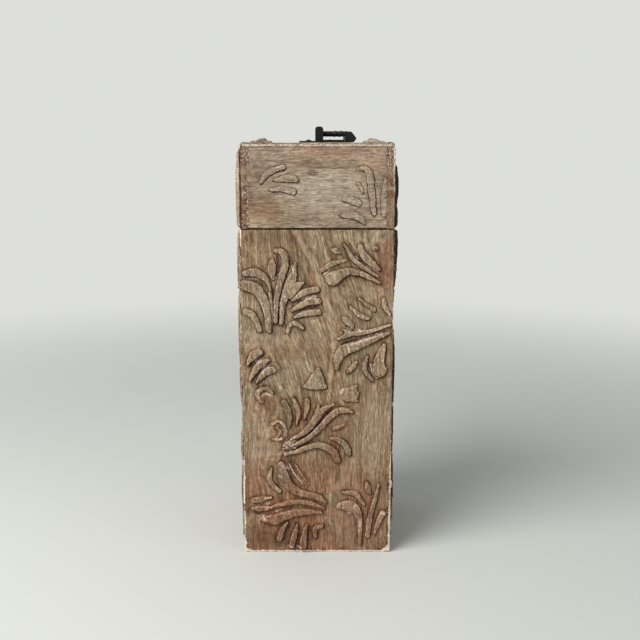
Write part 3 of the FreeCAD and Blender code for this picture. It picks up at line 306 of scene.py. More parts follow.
RIGHT_CARVING = (moved(FAN_SPRAY, right=60, up=6) + moved(TRUMPET_SPRAY, right=2, up=8, mirror=True)
                 + moved(PLUME_SPRAY, right=2, up=32, mirror=True)
                 + moved(WAVE_SPRAY, right=6, up=24) + moved(HOOK_SPRAY, right=0, up=52)
                 + moved(CLAW, right=4, up=-122) + RIGHT_EDGE)
LID_SPRAY = [
    leaf(0.80, [(-43.5, 35.6, 2.4), (-36.8, 43.2, 4.4), (-26, 47, 4)]),
    leaf(0.80, [(-33.4, 36.8, 1.2), (-27.2, 38.2, 4.2), (-19.6, 38.6, 5.8), (-15.8, 37, 3.2)]),
    leaf(0.80, [(-35.4, 29.6, 2.4), (-27, 30.4, 4.2), (-18.4, 28.2, 4.4)]),
    leaf(0.90, [(31, 45.4, 1.4), (36.6, 46, 4), (40.4, 41.6, 5), (42.2, 26.6, 4.8), (44, 12, 3.6)]),
    leaf(0.50, [(53, 38, 2.6), (51.6, 24.6, 4.6), (52, 10.6, 3.6)]),
    leaf(0.50, [(31, 35, 1.4), (34, 31.6, 2.4), (35, 27.6, 1.4)]),
    leaf(0.60, [(21.4, 22.4, 3), (27, 21.8, 5.4), (32, 19.8, 5)]),
    leaf(0.60, [(19, 9.8, 2.4), (28, 10.2, 5.4), (34, 7.4, 4.8), (36.8, 3.8, 2)]),
]
LID_LEFT_CARVING = moved(LID_SPRAY, right=-4, mirror=True) + [
    leaf(0.80, [(55.4, 58, 4), (56.4, 40, 6.6), (56.4, 22, 7), (55.6, 2.6, 6)]),
]
LID_RIGHT_CARVING = moved(LID_SPRAY, right=4, mirror=True) + [
    leaf(0.78, [(-56, 46.6, 4), (-56.4, 33, 7), (-56, 19.6, 5)]),
    leaf(0.76, [(-56.2, 17, 5), (-56.6, 9, 6.4), (-56, 2.6, 6)]),
]
TOP_SPRAY = [
    leaf(0.80, [(-47, -50, 3), (-44.5, -30, 9), (-47, -8, 4)]),
    leaf(0.60, [(-51.5, -44, 2.4), (-51, -28, 4.4), (-47, -12, 3)]),
    leaf(0.60, [(-40.5, -38, 2.4), (-41, -26, 4), (-46, -12, 3)]),
    leaf(1.00, [(-47, -8, 4), (-44.5, 12, 8), (-49, 34, 3)]),
    leaf(0.70, [(-47, -6, 3), (-51, 8, 4.4), (-52, 24, 2.4)]),
    leaf(0.70, [(-46, -4, 3), (-40.5, 8, 4.4), (-39.5, 22, 2.4)]),
    leaf(0.60, [(-45.5, 30, 3), (-42.5, 38, 4.6), (-46, 48, 2.4)]),
]
print("leaves on the sides:", len(LEFT_CARVING), len(RIGHT_CARVING), "on the lid:", len(LID_SPRAY))

# %% [markdown]
# ## From strokes to a carved surface
# For every point of a board we need to know how far it lies inside a leaf. A smooth curve through a
# stroke's points gives its spine, and the distance to that spine, less half the width there, is that
# measure. Everything else follows from it: the wall of the leaf, the cut round its foot and the softened
# edge of its crest. A ripple is smooth noise, given by its size across and along and by the place in the
# noise where it starts.

# %% How far a point lies inside a leaf
FAR = 6.0
SPINE_STEPS = 7
# The lower right of a leaf, where its outline gets painted shadow.
SHADOW_SIDE = (0.55, -0.84)
LEAST_DISTANCE = 0.01


def spine(stroke):
    """A smooth curve through a stroke's points, with the width carried along."""
    points = np.array(stroke, float)
    padded = np.vstack([2 * points[0] - points[1], points, 2 * points[-1] - points[-2]])
    t = np.linspace(0, 1, SPINE_STEPS, endpoint=False)[:, None]
    spans = [0.5 * (2 * b + (c - a) * t + (2 * a - 5 * b + 4 * c - d) * t ** 2
                    + (3 * b - a - 3 * c + d) * t ** 3)
             for a, b, c, d in zip(padded, padded[1:], padded[2:], padded[3:])]
    return np.vstack(spans + [points[-1:]])


def depth_and_side(strokes, x, z):
    """Millimetres inside the leaf, negative outside it, and the side of it: 1 below right, where painted
    shadow falls, -1 above left.
    """
    best, lower = np.full(x.shape, -FAR), np.zeros(x.shape)
    for stroke in strokes:
        line = spine(stroke)
        reach = line[:, 2].max() / 2 + FAR
        low, high = line[:, :2].min(0) - reach, line[:, :2].max(0) + reach
        near = np.flatnonzero((x > low[0]) & (x < high[0]) & (z > low[1]) & (z < high[1]))
        for a, b in zip(line[:-1], line[1:]):
            run = b[:2] - a[:2]
            dx, dz = x[near] - a[0], z[near] - a[1]
            t = np.clip((dx * run[0] + dz * run[1]) / (run @ run), 0, 1)
            off_x, off_z = dx - t * run[0], dz - t * run[1]
            far = np.maximum(np.hypot(off_x, off_z), LEAST_DISTANCE)
            depth = (a[2] + (b[2] - a[2]) * t) / 2 - far
            better = depth > best[near]
            best[near[better]] = depth[better]
            lower[near[better]] = ((SHADOW_SIDE[0] * off_x + SHADOW_SIDE[1] * off_z) / far)[better]
    return best, lower


def depth_inside(strokes, x, z):
    """Millimetres inside the leaf, negative outside it."""
    return depth_and_side(strokes, x, z)[0]


def outline_distance(leaves, x, z):
    """Millimetres to the nearest leaf outline."""
    nearest = np.full(x.shape, FAR)
    for _, strokes in leaves:
        nearest = np.minimum(nearest, np.abs(depth_inside(strokes, x, z)))
    return nearest


def ripple(x, z, across, along, seed):
    """Smooth noise between about -1 and 1, with features of the given size in millimetres."""
    return np.array([noise.noise(Vector((a / across, b / along, seed))) for a, b in zip(x, z)])


def ease(low, high, value):
    """0 at low, 1 at high and smooth between."""
    t = np.clip((value - low) / (high - low), 0, 1)
    return t * t * (3 - 2 * t)


print("points on the spine of the first leaf:", len(spine(FAN_SPRAY[0][1][0])))

# %% [markdown]
# The carving works on all points at once. Lower leaves come first, and each higher leaf is laid over them
# with its own cut round it. Where two leaves stand close, the ground between them goes deeper. Besides
# the height, it returns masks that the finish will need: the dark cuts, the shade round a spray, the
# crests and the leaves themselves.

# %% Carve the leaves
# A leaf's crown: the share of its height that swells up, and how far in from the outline it does so.
FLAT_LEAF = (0.1, 1.6)
DOMED_LEAF = (0.7, 3.6)
WALL_SLOPE = (-0.25, 0.2)
# A leaf with a smaller share of the relief than this is a stem, more a band of lime than a form.
LOW_LEAF = 0.2
# The cut round a leaf: its half width, how dark it is, and how much heavier it is at the lower right as
# painted shadow.
BODY_LINE = 0.3
LID_LINE = 0.32
FAINTEST_LINE = 0.5
LINE_PER_SHARE = 1.6
LINE_LEVEL, LINE_SLANT = 0.95, 0.6
INK = 0.84
SLANT = 0.35
# The pale line just inside the outline, rubbed wood with a painted highlight that is brighter at the upper
# left, and what a leaf that stands alone keeps of it.
CREST_PLACE, CREST_WIDTH = 0.35, 0.34
CREST_LEVEL, CREST_SLANT = 0.85, 0.15
LONE_CREST = 0.45
# The ground between leaves: when they count as close, when a gap is narrow, and how dark its painted shade
# is.
CLOSE_LEAVES = (4.4, 1.4)
NARROW_GAP = (5.4, 3.0)
CUT_SLOPE = (-0.5, 0.5)
GAP_INK = 0.5
# Shade on the ground beside leaves and stem, and lime on both.
SHADE_REACH = 1.9
BESIDE_STEM = 1.2
STEM_SHADE = 0.7
LEAF_LIME = 0.25
STEM_LIME = 0.4


def carve(leaves, rise, cut_depth, x, z, dome=FLAT_LEAF, line_width=BODY_LINE, slant=SLANT, deep=0.0,
          cuts=(), ink=INK, halo=1.0):
    """Height over the board's face in millimetres, with masks for the finish.

    deep is how far narrow gaps are cut and painted dark as shade, slant how much heavier the lower outlines
    are as painted shadow, ink how dark they are and halo how dark the painted shade on the ground beside them
    is.
    The band mask is above 0 on leaves and below 0 on a stem."""
    height = 0.2 * ripple(x, z, 7, 40, 1.7) + 0.09 * ripple(x, z, 2.2, 16, 5.1)
    waver = 0.44 * ripple(x, z, 3.6, 3.6, 9.3) + 0.24 * ripple(x, z, 1.5, 1.5, 4.4)
    tooling = 0.12 * ripple(x, z, 2.4, 2.4, 3.9)
    swell, reach = dome
    nearest, second = np.full(x.shape, FAR), np.full(x.shape, FAR)
    groove, crest, top, band, beside = (np.zeros(x.shape) for _ in range(5))
    for share, strokes in sorted(leaves, key=lambda item: item[0]):
        inside, lower = depth_and_side(strokes, x, z)
        inside += waver
        wall = ease(*WALL_SLOPE, inside)
        # Painted shadow: the outline is wider and darker at the lower right of each leaf.
        spread = line_width * (1 + slant * lower)
        line = np.exp(-((inside + spread) / spread) ** 2)
        line *= max(FAINTEST_LINE, min(1, LINE_PER_SHARE * share))
        line *= LINE_LEVEL + LINE_SLANT * slant * lower
        crown = rise * share * (1 - swell + swell * ease(0, reach, inside)) + tooling
        height = height * (1 - wall) + crown * wall - cut_depth * line
        groove = np.maximum(groove * (1 - wall), line)
        # Painted highlight: the crest line is paler at the upper left of each leaf than at the lower right.
        edge = np.exp(-((inside - CREST_PLACE) / CREST_WIDTH) ** 2) * (CREST_LEVEL - CREST_SLANT * lower)
        crest = crest * (1 - wall) + wall * edge
        if share < LOW_LEAF:
            band = np.maximum(band, wall)
            beside = np.maximum(beside, np.exp(-((inside + BESIDE_STEM) / BESIDE_STEM) ** 2))
            continue
        top = np.maximum(top, wall)
        second = np.minimum(second, np.maximum(nearest, -inside))
        nearest = np.minimum(nearest, -inside)
    close = ease(*CLOSE_LEAVES, second)
    # Narrow gaps and deep cuts are cut deeper and carry painted shade.
    gap = deep * ease(*NARROW_GAP, nearest + second)
    if cuts:
        gap = np.maximum(gap, ease(*CUT_SLOPE, depth_inside(cuts, x, z) + waver))
    gap *= 1 - top
    shade = np.maximum(STEM_SHADE * beside, np.exp(-(np.maximum(nearest, 0) / SHADE_REACH) ** 2))
    masks = {"groove": groove * (ink + GAP_INK * gap),
             "hollow": gap,
             "shade": halo * (1 - top) * shade,
             "band": LEAF_LIME * top - STEM_LIME * band * (1 - top),
             "crest": crest * (LONE_CREST + (1 - LONE_CREST) * close)}
    return height - cut_depth * gap, masks


trial_x, trial_z = np.meshgrid(np.arange(-58, 58, 4.0), np.arange(80, 130, 4.0))
trial, _ = carve(PLUME_SPRAY, 1.0, 0.5, trial_x.ravel(), trial_z.ravel())
print(f"plumes on a trial of 1 mm relief: {trial.min():.2f} to {trial.max():.2f} mm")

# %% [markdown]
# Hands and shelves have worn the rims, each edge by its own share, and chipped them here and there. Some
# leaves are rubbed paler than others, so the crest mask is strengthened round a few places of the front.

# %% Wear the rim and the crests
# Places of the front by x, z and reach, and the wear of its upright edges by height.
RUBBED_PLACES = [(-8, 213, 11), (-37, 205, 10), (-47, 222, 10), (48, 188, 14), (30, 176, 12),
                 (52, 160, 10), (-22, 92, 13), (-45, 38, 12), (35, 24, 9), (56, 205, 8),
                 (8, 234, 8), (-46, 158, 12), (-16, 10, 13), (36, 248, 9), (-33, 238, 8),
                 (24, 40, 8), (53, 36, 5), (-13, 68, 10), (-28, 104, 8), (2, 108, 9)]
LEFT_WEAR = [(0, 1.4), (9, 1.3), (16, 0.9), (70, 0.9), (92, 0.5), (235, 0.35), (252, 0.4), (256, 0.9),
             (266, 0.9), (268, 0.5)]
RIGHT_WEAR = [(0, 2.0), (12, 1.9), (22, 1.6), (60, 1.5), (86, 1.0), (110, 0.4), (186, 0.3), (196, 0.8),
              (214, 0.8), (224, 0.25), (268, 0.25)]
RUBBED_ALL_OVER = 0.35
# Chips in a rim, and what a sound and a chipped rim are rounded by.
CHIP_SIZE = 4.5
CHIP_SLOPE = (0.1, 0.7)
SOUND_RIM, CHIPPED_RIM = 0.4, 1.3
# The pale wear along a rim in millimetres, the stain left beside it, and the worn corners.
PALE_RIM, PALE_PER_SHARE = 0.3, 1.1
STAIN_GAP, STAIN_WIDTH = 0.3, 0.6
RIM_STAIN = 0.7
CORNER_WEAR = (7.0, 3.0)
CORNER_RAGGED = 5
WORN_END, MOST_WORN = 0.5, 1.5


def wear_rim(width, tall, soft, worn, x, z):
    """The rim's rounding in millimetres, a mask of its wear and one of the stain left beside it.

    worn is for left, right, foot and head: None at a joint, a share, or shares by height."""
    chips = ripple(x, z, CHIP_SIZE, CHIP_SIZE, 12.4) + 0.6 * ripple(x, z, 1.7, 1.7, 2.2)
    ragged = 0.7 * ripple(x, z, 2.4, 2.4, 7.7) + 0.4 * ripple(x, z, 9, 9, 1.3)
    patchy = 0.5 + 0.5 * ease(-0.4, 0.15, ripple(x, z, 11, 11, 6.1))
    gaps = (x + width / 2, width / 2 - x, z, tall - z)
    drop, rim, stain, ends = np.zeros(x.shape), np.zeros(x.shape), np.zeros(x.shape), []
    for gap, share in zip(gaps, worn):
        if share is None:
            continue
        if isinstance(share, list):
            share = np.interp(z, *zip(*share))
        radius = soft * (SOUND_RIM + CHIPPED_RIM * share * ease(*CHIP_SLOPE, chips))
        bite = np.clip(radius - gap, 0, radius)
        drop = np.maximum(drop, radius - np.sqrt(np.maximum(radius ** 2 - bite ** 2, 0)))
        reach = PALE_RIM + PALE_PER_SHARE * share
        held = np.clip(patchy + 0.4 * (share - 1), 0, 1)
        rim = np.maximum(rim, np.minimum(share, 1) * held * ease(reach, 0.3 * reach, gap + ragged))
        stain = np.maximum(stain, share * np.exp(-((gap - reach - STAIN_GAP + ragged) / STAIN_WIDTH) ** 2))
        if np.max(share) > WORN_END:
            ends.append(gap / np.minimum(share, MOST_WORN))
    if len(ends) > 1:
        nearest, second = np.sort(np.array(ends), axis=0)[:2]
        rim = np.maximum(rim, ease(*CORNER_WEAR, nearest + second + CORNER_RAGGED * ragged))
    return drop, rim, RIM_STAIN * stain * (1 - rim) * ease(0.0, 0.5, chips)


def rubbed(x, z, places):
    """How much the crests are rubbed: a little everywhere, and more round some places."""
    amount = np.full(x.shape, RUBBED_ALL_OVER)
    for centre_x, centre_z, reach in places:
        amount += np.exp(-((x - centre_x) ** 2 + (z - centre_z) ** 2) / reach ** 2)
    return np.minimum(amount, 1)


print("places where the crests of the front are rubbed most:", len(RUBBED_PLACES))

# %% [markdown]
# ## Boards
# A board starts as a flat grid. Cells that a leaf's outline passes through are subdivided twice, so the
# cuts are crisp while the plain wood stays light. The low stem and the board's edges need only the first
# subdivision. The carving then moves every point in or out, and the rim is extruded backwards to give the
# board its thickness.

# %% A grid that is finest along the cuts
CELL = 1.2
FIRST_REACH = 1.2
SECOND_REACH = 0.43
# Added to a distance, this keeps the second subdivision away.
ONLY_ONCE = 0.45


def border_distance(width, tall, x, z):
    """Millimetres to the nearest edge of the board."""
    return np.minimum(width / 2 - np.abs(x), np.minimum(z, tall - z))


def middles_of(faces):
    """The x and z of the middle of every face."""
    middles = np.array([face.calc_center_median() for face in faces])
    return middles[:, 0], middles[:, 2]


def face_grid(width, tall, measure):
    """A grid facing -Y with its foot on z = 0, finer where measure(x, z) is small."""
    bm = bmesh.new()
    bmesh.ops.create_grid(bm, x_segments=round(width / CELL), y_segments=round(tall / CELL), size=0.5)
    bmesh.ops.scale(bm, vec=(width, tall, 1), verts=bm.verts)
    bmesh.ops.translate(bm, vec=(0, tall / 2, 0), verts=bm.verts)
    bmesh.ops.rotate(bm, matrix=Matrix.Rotation(math.radians(90), 3, "X"), verts=bm.verts)
    for reach in (FIRST_REACH, SECOND_REACH):
        faces = list(bm.faces)
        close = measure(*middles_of(faces)) < reach
        edges = {edge for face, near in zip(faces, close) if near for edge in face.edges}
        bmesh.ops.subdivide_edges(bm, edges=list(edges), cuts=1, use_grid_fill=True)
    return bm


def points_of(verts):
    """The x, y and z of points, as three arrays."""
    return np.array([vert.co for vert in verts]).T


def lay_in(bm, height, masks):
    """Moves every point out by its height and stores the masks for the finish."""
    layers = {name: bm.verts.layers.float.new(name) for name in masks}
    for i, vert in enumerate(bm.verts):
        vert.co.y = -height[i]
        for name, layer in layers.items():
            vert[layer] = masks[name][i]
    return layers


trial = face_grid(2 * HALF_WIDTH, 2 * HALF_WIDTH, lambda x, z: np.hypot(x, z - HALF_WIDTH))
print("faces of a trial grid that is finer round its middle:", len(trial.faces))
trial.free()

# %% [markdown]
# The sides of a board grow out of its rim, step by step, so that stain and wear can change on the way
# back. The flat back is filled in one go and shows bare wood. Where a board has a hole or a free outline,
# the sheet is trimmed first, and the rough rim is moved on to the line.

# %% Sides, back and trimmed edges of a sheet
RIM_CARRIED, STAIN_CARRIED = 0.6, 0.3
TRIM_STEP = 0.05
TRIM_ROUNDS = 3
LEAST_SLOPE = 0.2


def outer_rim(bm):
    """The open edges of a sheet."""
    return [edge for edge in bm.edges if edge.is_boundary]


def thicken(bm, rim, profile, layers):
    """Extrudes a rim back through (depth, inset, stain) steps and returns the last rim.

    A stain below 0 is wear."""
    for depth, inset, stain in profile:
        grown = bmesh.ops.extrude_edge_only(bm, edges=rim)["geom"]
        ring = [item for item in grown if isinstance(item, bmesh.types.BMVert)]
        rim = [item for item in grown if isinstance(item, bmesh.types.BMEdge) and item.is_boundary]
        x, _, z = points_of(ring)
        middle_x, middle_z = (x.max() + x.min()) / 2, (z.max() + z.min()) / 2
        for vert in ring:
            vert.co.y = max(depth, vert.co.y)
            vert.co.x -= inset * (vert.co.x - middle_x) / np.ptp(x) * 2
            vert.co.z -= inset * (vert.co.z - middle_z) / np.ptp(z) * 2
            vert[layers["rim"]] = max(-stain, RIM_CARRIED * vert[layers["rim"]])
            vert[layers["groove"]] = max(stain, STAIN_CARRIED * vert[layers["groove"]])
    for edge in rim:
        edge.smooth = False
    return rim


def close_back(bm, rims):
    """Fills the flat back between the given rims, as bare wood."""
    for face in bm.faces:
        face.smooth = True
    filled = bmesh.ops.triangle_fill(bm, use_beauty=True, use_dissolve=False, edges=rims)["geom"]
    for item in filled:
        if isinstance(item, bmesh.types.BMFace):
            item.smooth = False
            item.material_index = 1


def trim(bm, measure):
    """Deletes the faces where measure(x, z) is negative, moves the new rim on to zero and returns it."""
    before = set(outer_rim(bm))
    faces = list(bm.faces)
    gone = [face for face, value in zip(faces, measure(*middles_of(faces))) if value < 0]
    bmesh.ops.delete(bm, geom=gone, context="FACES")
    rim = [edge for edge in outer_rim(bm) if edge not in before]
    ring = list({vert for edge in rim for vert in edge.verts})
    x, _, z = points_of(ring)
    for _ in range(TRIM_ROUNDS):
        slope_x = (measure(x + TRIM_STEP, z) - measure(x - TRIM_STEP, z)) / (2 * TRIM_STEP)
        slope_z = (measure(x, z + TRIM_STEP) - measure(x, z - TRIM_STEP)) / (2 * TRIM_STEP)
        share = measure(x, z) / np.maximum(slope_x ** 2 + slope_z ** 2, LEAST_SLOPE)
        x = x - share * slope_x
        z = z - share * slope_z
    for i, vert in enumerate(ring):
        vert.co.x, vert.co.z = x[i], z[i]
    return rim


# %% [markdown]
# Every finished piece goes through one door: it is turned to its side of the box, set on its foot, scaled
# to metres, made an object and tied to the body that it moves with. The piece then stands for the plain
# solid of the construction model.

# %% Make a piece of the finished mesh
def make_piece(bm, name, body, nodes, materials, turn=0.0, foot=(0, 0, 0), tilt=0.0):
    """An object in its place, riding on a body in the place of the model's own nodes."""
    turned = Matrix.Rotation(math.radians(turn), 3, "Z") @ Matrix.Rotation(math.radians(tilt), 3, "X")
    bmesh.ops.rotate(bm, matrix=turned, verts=bm.verts)
    bmesh.ops.translate(bm, vec=foot, verts=bm.verts)
    bmesh.ops.scale(bm, vec=(MM, MM, MM), verts=bm.verts)
    bmesh.ops.recalc_face_normals(bm, faces=bm.faces)
    mesh = bpy.data.meshes.new(name)
    bm.to_mesh(mesh)
    bm.free()
    for material in materials:
        mesh.materials.append(material)
    piece = bpy.data.objects.new(name, mesh)
    bpy.context.scene.collection.objects.link(piece)
    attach(piece, body)
    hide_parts(*nodes)
    mesh.calc_loop_triangles()
    print(f"{name}: {len(mesh.loop_triangles)} triangles")


# %% [markdown]
# ## The finish
# The wood was stained brown, brushed along the grain, washed with lime and then worn. So the colour is
# built in the same order: brown streaks along the grain, lime left in the fine lines, dark stain in the
# cuts with painted shade in the deep gaps, at the lower right of the leaves and along the right edges, and
# pale bare wood wherever hands and shelves have rubbed: on the crests of the leaves, which also carry a
# painted highlight at their upper left, and along the rims.

# %% Small helpers for shader nodes
RAGGED = 1.2


def tone(red, green, blue):
    """A colour as it is seen on screen, 0 to 255, as linear light."""
    parts = [value / 255 for value in (red, green, blue)]
    return [part / 12.92 if part <= 0.04045 else ((part + 0.055) / 1.055) ** 2.4 for part in parts] + [1.0]


def feed(tree, socket, value):
    """Links a socket to the value, or sets it."""
    if isinstance(value, bpy.types.NodeSocket):
        tree.links.new(value, socket)
    else:
        socket.default_value = value


def put(tree, kind, inputs=None, **settings):
    """A new node with its settings and inputs."""
    item = tree.nodes.new(kind)
    for name, value in settings.items():
        setattr(item, name, value)
    for name, value in (inputs or {}).items():
        feed(tree, item.inputs[name], value)
    return item


def mixed(tree, factor, first, second, blend="MIX"):
    """One colour laid over another."""
    return put(tree, "ShaderNodeMix", {0: factor, 6: first, 7: second}, data_type="RGBA",
               blend_type=blend).outputs[2]


def sums(tree, operation, first, second=0.0):
    """One step of arithmetic on values."""
    return put(tree, "ShaderNodeMath", {0: first, 1: second}, operation=operation).outputs[0]


def ramp(tree, value, low, high, to_low=0.0, to_high=1.0):
    """A smooth step from one level to another."""
    return put(tree, "ShaderNodeMapRange", {0: value, 1: low, 2: high, 3: to_low, 4: to_high},
               interpolation_type="SMOOTHSTEP").outputs[0]


def vector_sums(tree, operation, first, second):
    """One step of arithmetic on coordinates."""
    return put(tree, "ShaderNodeVectorMath", {0: first, 1: second}, operation=operation).outputs[0]


def length_of(tree, vector):
    """How far coordinates lie from the origin."""
    return put(tree, "ShaderNodeVectorMath", {0: vector}, operation="LENGTH").outputs[1]


def stretched(tree, vector, factors):
    """The coordinates with each axis scaled."""
    return vector_sums(tree, "MULTIPLY", vector, factors)


def in_millimetres(tree, vector, along=1.0):
    """Coordinates in millimetres, with Z scaled once more, so that patterns are longer that way."""
    return stretched(tree, vector, (1 / MM, 1 / MM, along / MM))


def cloud(tree, vector, scale, detail=3.0, rough=0.55):
    """Noise of a given scale."""
    return put(tree, "ShaderNodeTexNoise", {"Vector": vector, "Scale": scale, "Detail": detail,
                                            "Roughness": rough}).outputs[0]


def roughened(tree, value, noisy):
    """A value made uneven by noise between 0 and 1."""
    return sums(tree, "ADD", value, sums(tree, "MULTIPLY", sums(tree, "SUBTRACT", noisy, 0.5), RAGGED))


def new_group(name, inputs, outputs):
    """An empty node group with the named sockets, and its two ends."""
    tree = bpy.data.node_groups.new(name, "ShaderNodeTree")
    for label, kind in inputs:
        tree.interface.new_socket(label, in_out="INPUT", socket_type=kind)
    for label, kind in outputs:
        tree.interface.new_socket(label, in_out="OUTPUT", socket_type=kind)
    return tree, tree.nodes.new("NodeGroupInput").outputs, tree.nodes.new("NodeGroupOutput").inputs


def use_group(tree, group, inputs):
    """The outputs of a node group, fed with values."""
    item = put(tree, "ShaderNodeGroup", node_tree=group)
    for label, value in inputs.items():
        feed(tree, item.inputs[label], value)
    return item.outputs


print("a middle brown as linear light:", [round(part, 3) for part in tone(144, 121, 95)])

# %% [markdown]
# The grain group reads coordinates whose Z runs along the grain, in metres, and scales them to
# millimetres. A slow noise bends the lines, and four noises stretched along the grain give broad bands,
# streaks, fine combed lines and hair-thin pores. A last noise with hardly any direction gives the
# mottling of the lime. It is a node group, because every wood of the box uses it with its own bend.

# %% Grain, as a shader node group
VALUE = "NodeSocketFloat"
COLOUR = "NodeSocketColor"
VECTOR = "NodeSocketVector"
SWAY_ALONG, SWAY_SCALE = 0.45, 0.022
# Each noise by its squeeze along the grain, its scale, detail and roughness.
GRAIN_NOISES = {"Bands": (0.06, 0.24, 3.0, 0.55), "Streaks": (0.03, 0.42, 3.0, 0.6),
                "Lines": (0.028, 0.8, 4.0, 0.66), "Pores": (0.1, 1.2, 2.0, 0.6)}
MOTTLE_NOISE = (0.6, 0.56, 4.0, 0.68)
GRAIN_VALUES = (*GRAIN_NOISES, "Mottle")


def along_grain(tree, vector, along, scale, detail, rough):
    """Noise stretched along Z."""
    return cloud(tree, stretched(tree, vector, (1, 1, along)), scale, detail, rough)


def build_grain_group():
    """Values for the bands, streaks, lines and pores of brushed wood, and for its mottled lime."""
    tree, given, result = new_group("brushed grain", [("Vector", VECTOR), ("Sway", VALUE)],
                                    [(label, VALUE) for label in GRAIN_VALUES])
    place = in_millimetres(tree, given["Vector"])
    slow = put(tree, "ShaderNodeTexNoise", {"Vector": stretched(tree, place, (1, 1, SWAY_ALONG)),
                                            "Scale": SWAY_SCALE, "Detail": 2.0}).outputs[1]
    centred = vector_sums(tree, "SUBTRACT", slow, (0.5, 0.5, 0.5))
    sway = put(tree, "ShaderNodeVectorMath", {0: centred, "Scale": given["Sway"]},
               operation="SCALE").outputs[0]
    bent = vector_sums(tree, "ADD", place, sway)
    for label, recipe in GRAIN_NOISES.items():
        feed(tree, result[label], along_grain(tree, bent, *recipe))
    feed(tree, result["Mottle"], along_grain(tree, place, *MOTTLE_NOISE))
    return tree


GRAIN = build_grain_group()
print("node group:", GRAIN.name)

# %% [markdown]
# The wear group takes a colour and the masks that the carving stored, and returns the colour with stain
# and painted shade in the cuts, painted shade beside the leaves, bare, limed wood on crests and rims, and
# a painted highlight on the crests. Noise breaks up every edge, because wear is never even. The order
# counts: what was laid on last lies on top.

# %% Stain and wear, as a shader node group
MASKS = ("Groove", "Hollow", "Shade", "Crest", "Rim", "Band", "End")
WEAR_COLOURS = ("Colour", "Line", "Stain_And_Shade", "Rubbed_And_Lit", "Bare")
CRACK_DARK, CRACK_PALE = tone(84, 62, 54), tone(148, 125, 107)
# The painted shade in deep gaps, flecked with pale paint.
HOLLOW_DARK, HOLLOW_PALE = tone(62, 42, 34), tone(118, 90, 78)
SHADE_TINT = tone(204, 176, 152)
SPECKLED_LEAF = 3.2
CREST_TINT = 0.27


def build_wear_group():
    """A colour with stain and painted shade in its cuts, painted shade beside leaves, and bare wood where it
    was rubbed, with a painted highlight on the crests.
    """
    tree, given, result = new_group(
        "stain and wear",
        [("Vector", VECTOR)] + [(label, COLOUR) for label in WEAR_COLOURS]
        + [(label, VALUE) for label in MASKS],
        [("Colour", COLOUR)])
    place = in_millimetres(tree, given["Vector"])
    patches = cloud(tree, place, 0.12, 3.0)
    specks = cloud(tree, place, 0.9, 3.0, 0.65)
    flecks = cloud(tree, place, 0.6, 2.0, 0.6)
    chalk = cloud(tree, stretched(tree, place, (1.0, 1.0, 0.75)), 0.74, 4.0, 0.7)
    uneven = ramp(tree, patches, 0.34, 0.62, 0.55, 1.0)
    crackled = mixed(tree, ramp(tree, flecks, 0.38, 0.58), CRACK_DARK, CRACK_PALE)
    crackled = mixed(tree, ramp(tree, flecks, 0.62, 0.68), crackled, given["Bare"])
    ends = roughened(tree, given["End"], specks)
    colour = mixed(tree, ramp(tree, ends, 0.3, 0.75), given["Colour"], crackled)
    aura = sums(tree, "MULTIPLY", given["Shade"], ramp(tree, patches, 0.38, 0.6, 0.4, 1.0))
    colour = mixed(tree, aura, colour, SHADE_TINT, "MULTIPLY")
    speckle = ramp(tree, chalk, 0.36, 0.64, 0.62, 1.36)
    speckled = mixed(tree, 1.0, colour, speckle, "MULTIPLY")
    colour = mixed(tree, sums(tree, "MULTIPLY", given["Band"], SPECKLED_LEAF), colour, speckled)
    # Crests: rubbed pale wood, and a painted highlight that is paler at the upper left of each leaf.
    colour = mixed(tree, sums(tree, "MULTIPLY", given["Crest"], CREST_TINT), colour, given["Rubbed_And_Lit"])
    # Painted shade in the deep gaps between leaves.
    hollow = mixed(tree, ramp(tree, flecks, 0.36, 0.64), HOLLOW_DARK, HOLLOW_PALE)
    colour = mixed(tree, sums(tree, "MULTIPLY", given["Hollow"], uneven), colour, hollow)
    cuts = sums(tree, "MULTIPLY", given["Groove"], ramp(tree, specks, 0.34, 0.54, 0.6, 1.15))
    cuts = sums(tree, "MULTIPLY", cuts, uneven)
    colour = mixed(tree, ramp(tree, cuts, 0.22, 0.52), colour, given["Line"])
    colour = mixed(tree, ramp(tree, cuts, 0.6, 1.0), colour, given["Stain_And_Shade"])
    lit = sums(tree, "MULTIPLY", given["Crest"], ramp(tree, chalk, 0.5, 0.6))
    colour = mixed(tree, lit, colour, given["Rubbed_And_Lit"])
    handled = sums(tree, "MULTIPLY", given["Rim"], ramp(tree, specks, 0.3, 0.6, 0.3, 1.2))
    feed(tree, result["Colour"], mixed(tree, ramp(tree, handled, 0.3, 0.7), colour, given["Bare"]))
    return tree


WEAR = build_wear_group()
print("node group:", WEAR.name)

# %% [markdown]
# Old stain is never one brown. A spot is a soft mask round one place of a board, with a torn edge, and it
# lets a redder, darker or paler tint show there.

# %% Soft spots, as a shader node group
def build_spot_group():
    """A mask that is 1 round a centre and fades to 0 over a spread."""
    tree, given, result = new_group(
        "soft spot", [("Vector", VECTOR), ("Centre", VECTOR), ("Inverse Spread", VECTOR)], [("Mask", VALUE)])
    away = vector_sums(tree, "SUBTRACT", given["Vector"], given["Centre"])
    far = length_of(tree, vector_sums(tree, "MULTIPLY", away, given["Inverse Spread"]))
    torn = cloud(tree, in_millimetres(tree, given["Vector"], 0.4), 0.09, 3.0)
    feed(tree, result["Mask"], ramp(tree, roughened(tree, far, torn), 1.0, 0.25))
    return tree


SPOT = build_spot_group()
print("node group:", SPOT.name)

# %% [markdown]
# A limed board is the three groups in a row: the grain gives the brown and the lime, the spots tint them,
# and the wear comes last. The colours are written as screen values read off the old box and turned into
# the linear values that the renderer works with.

# %% The limed wood material
LINE = tone(58, 37, 21)
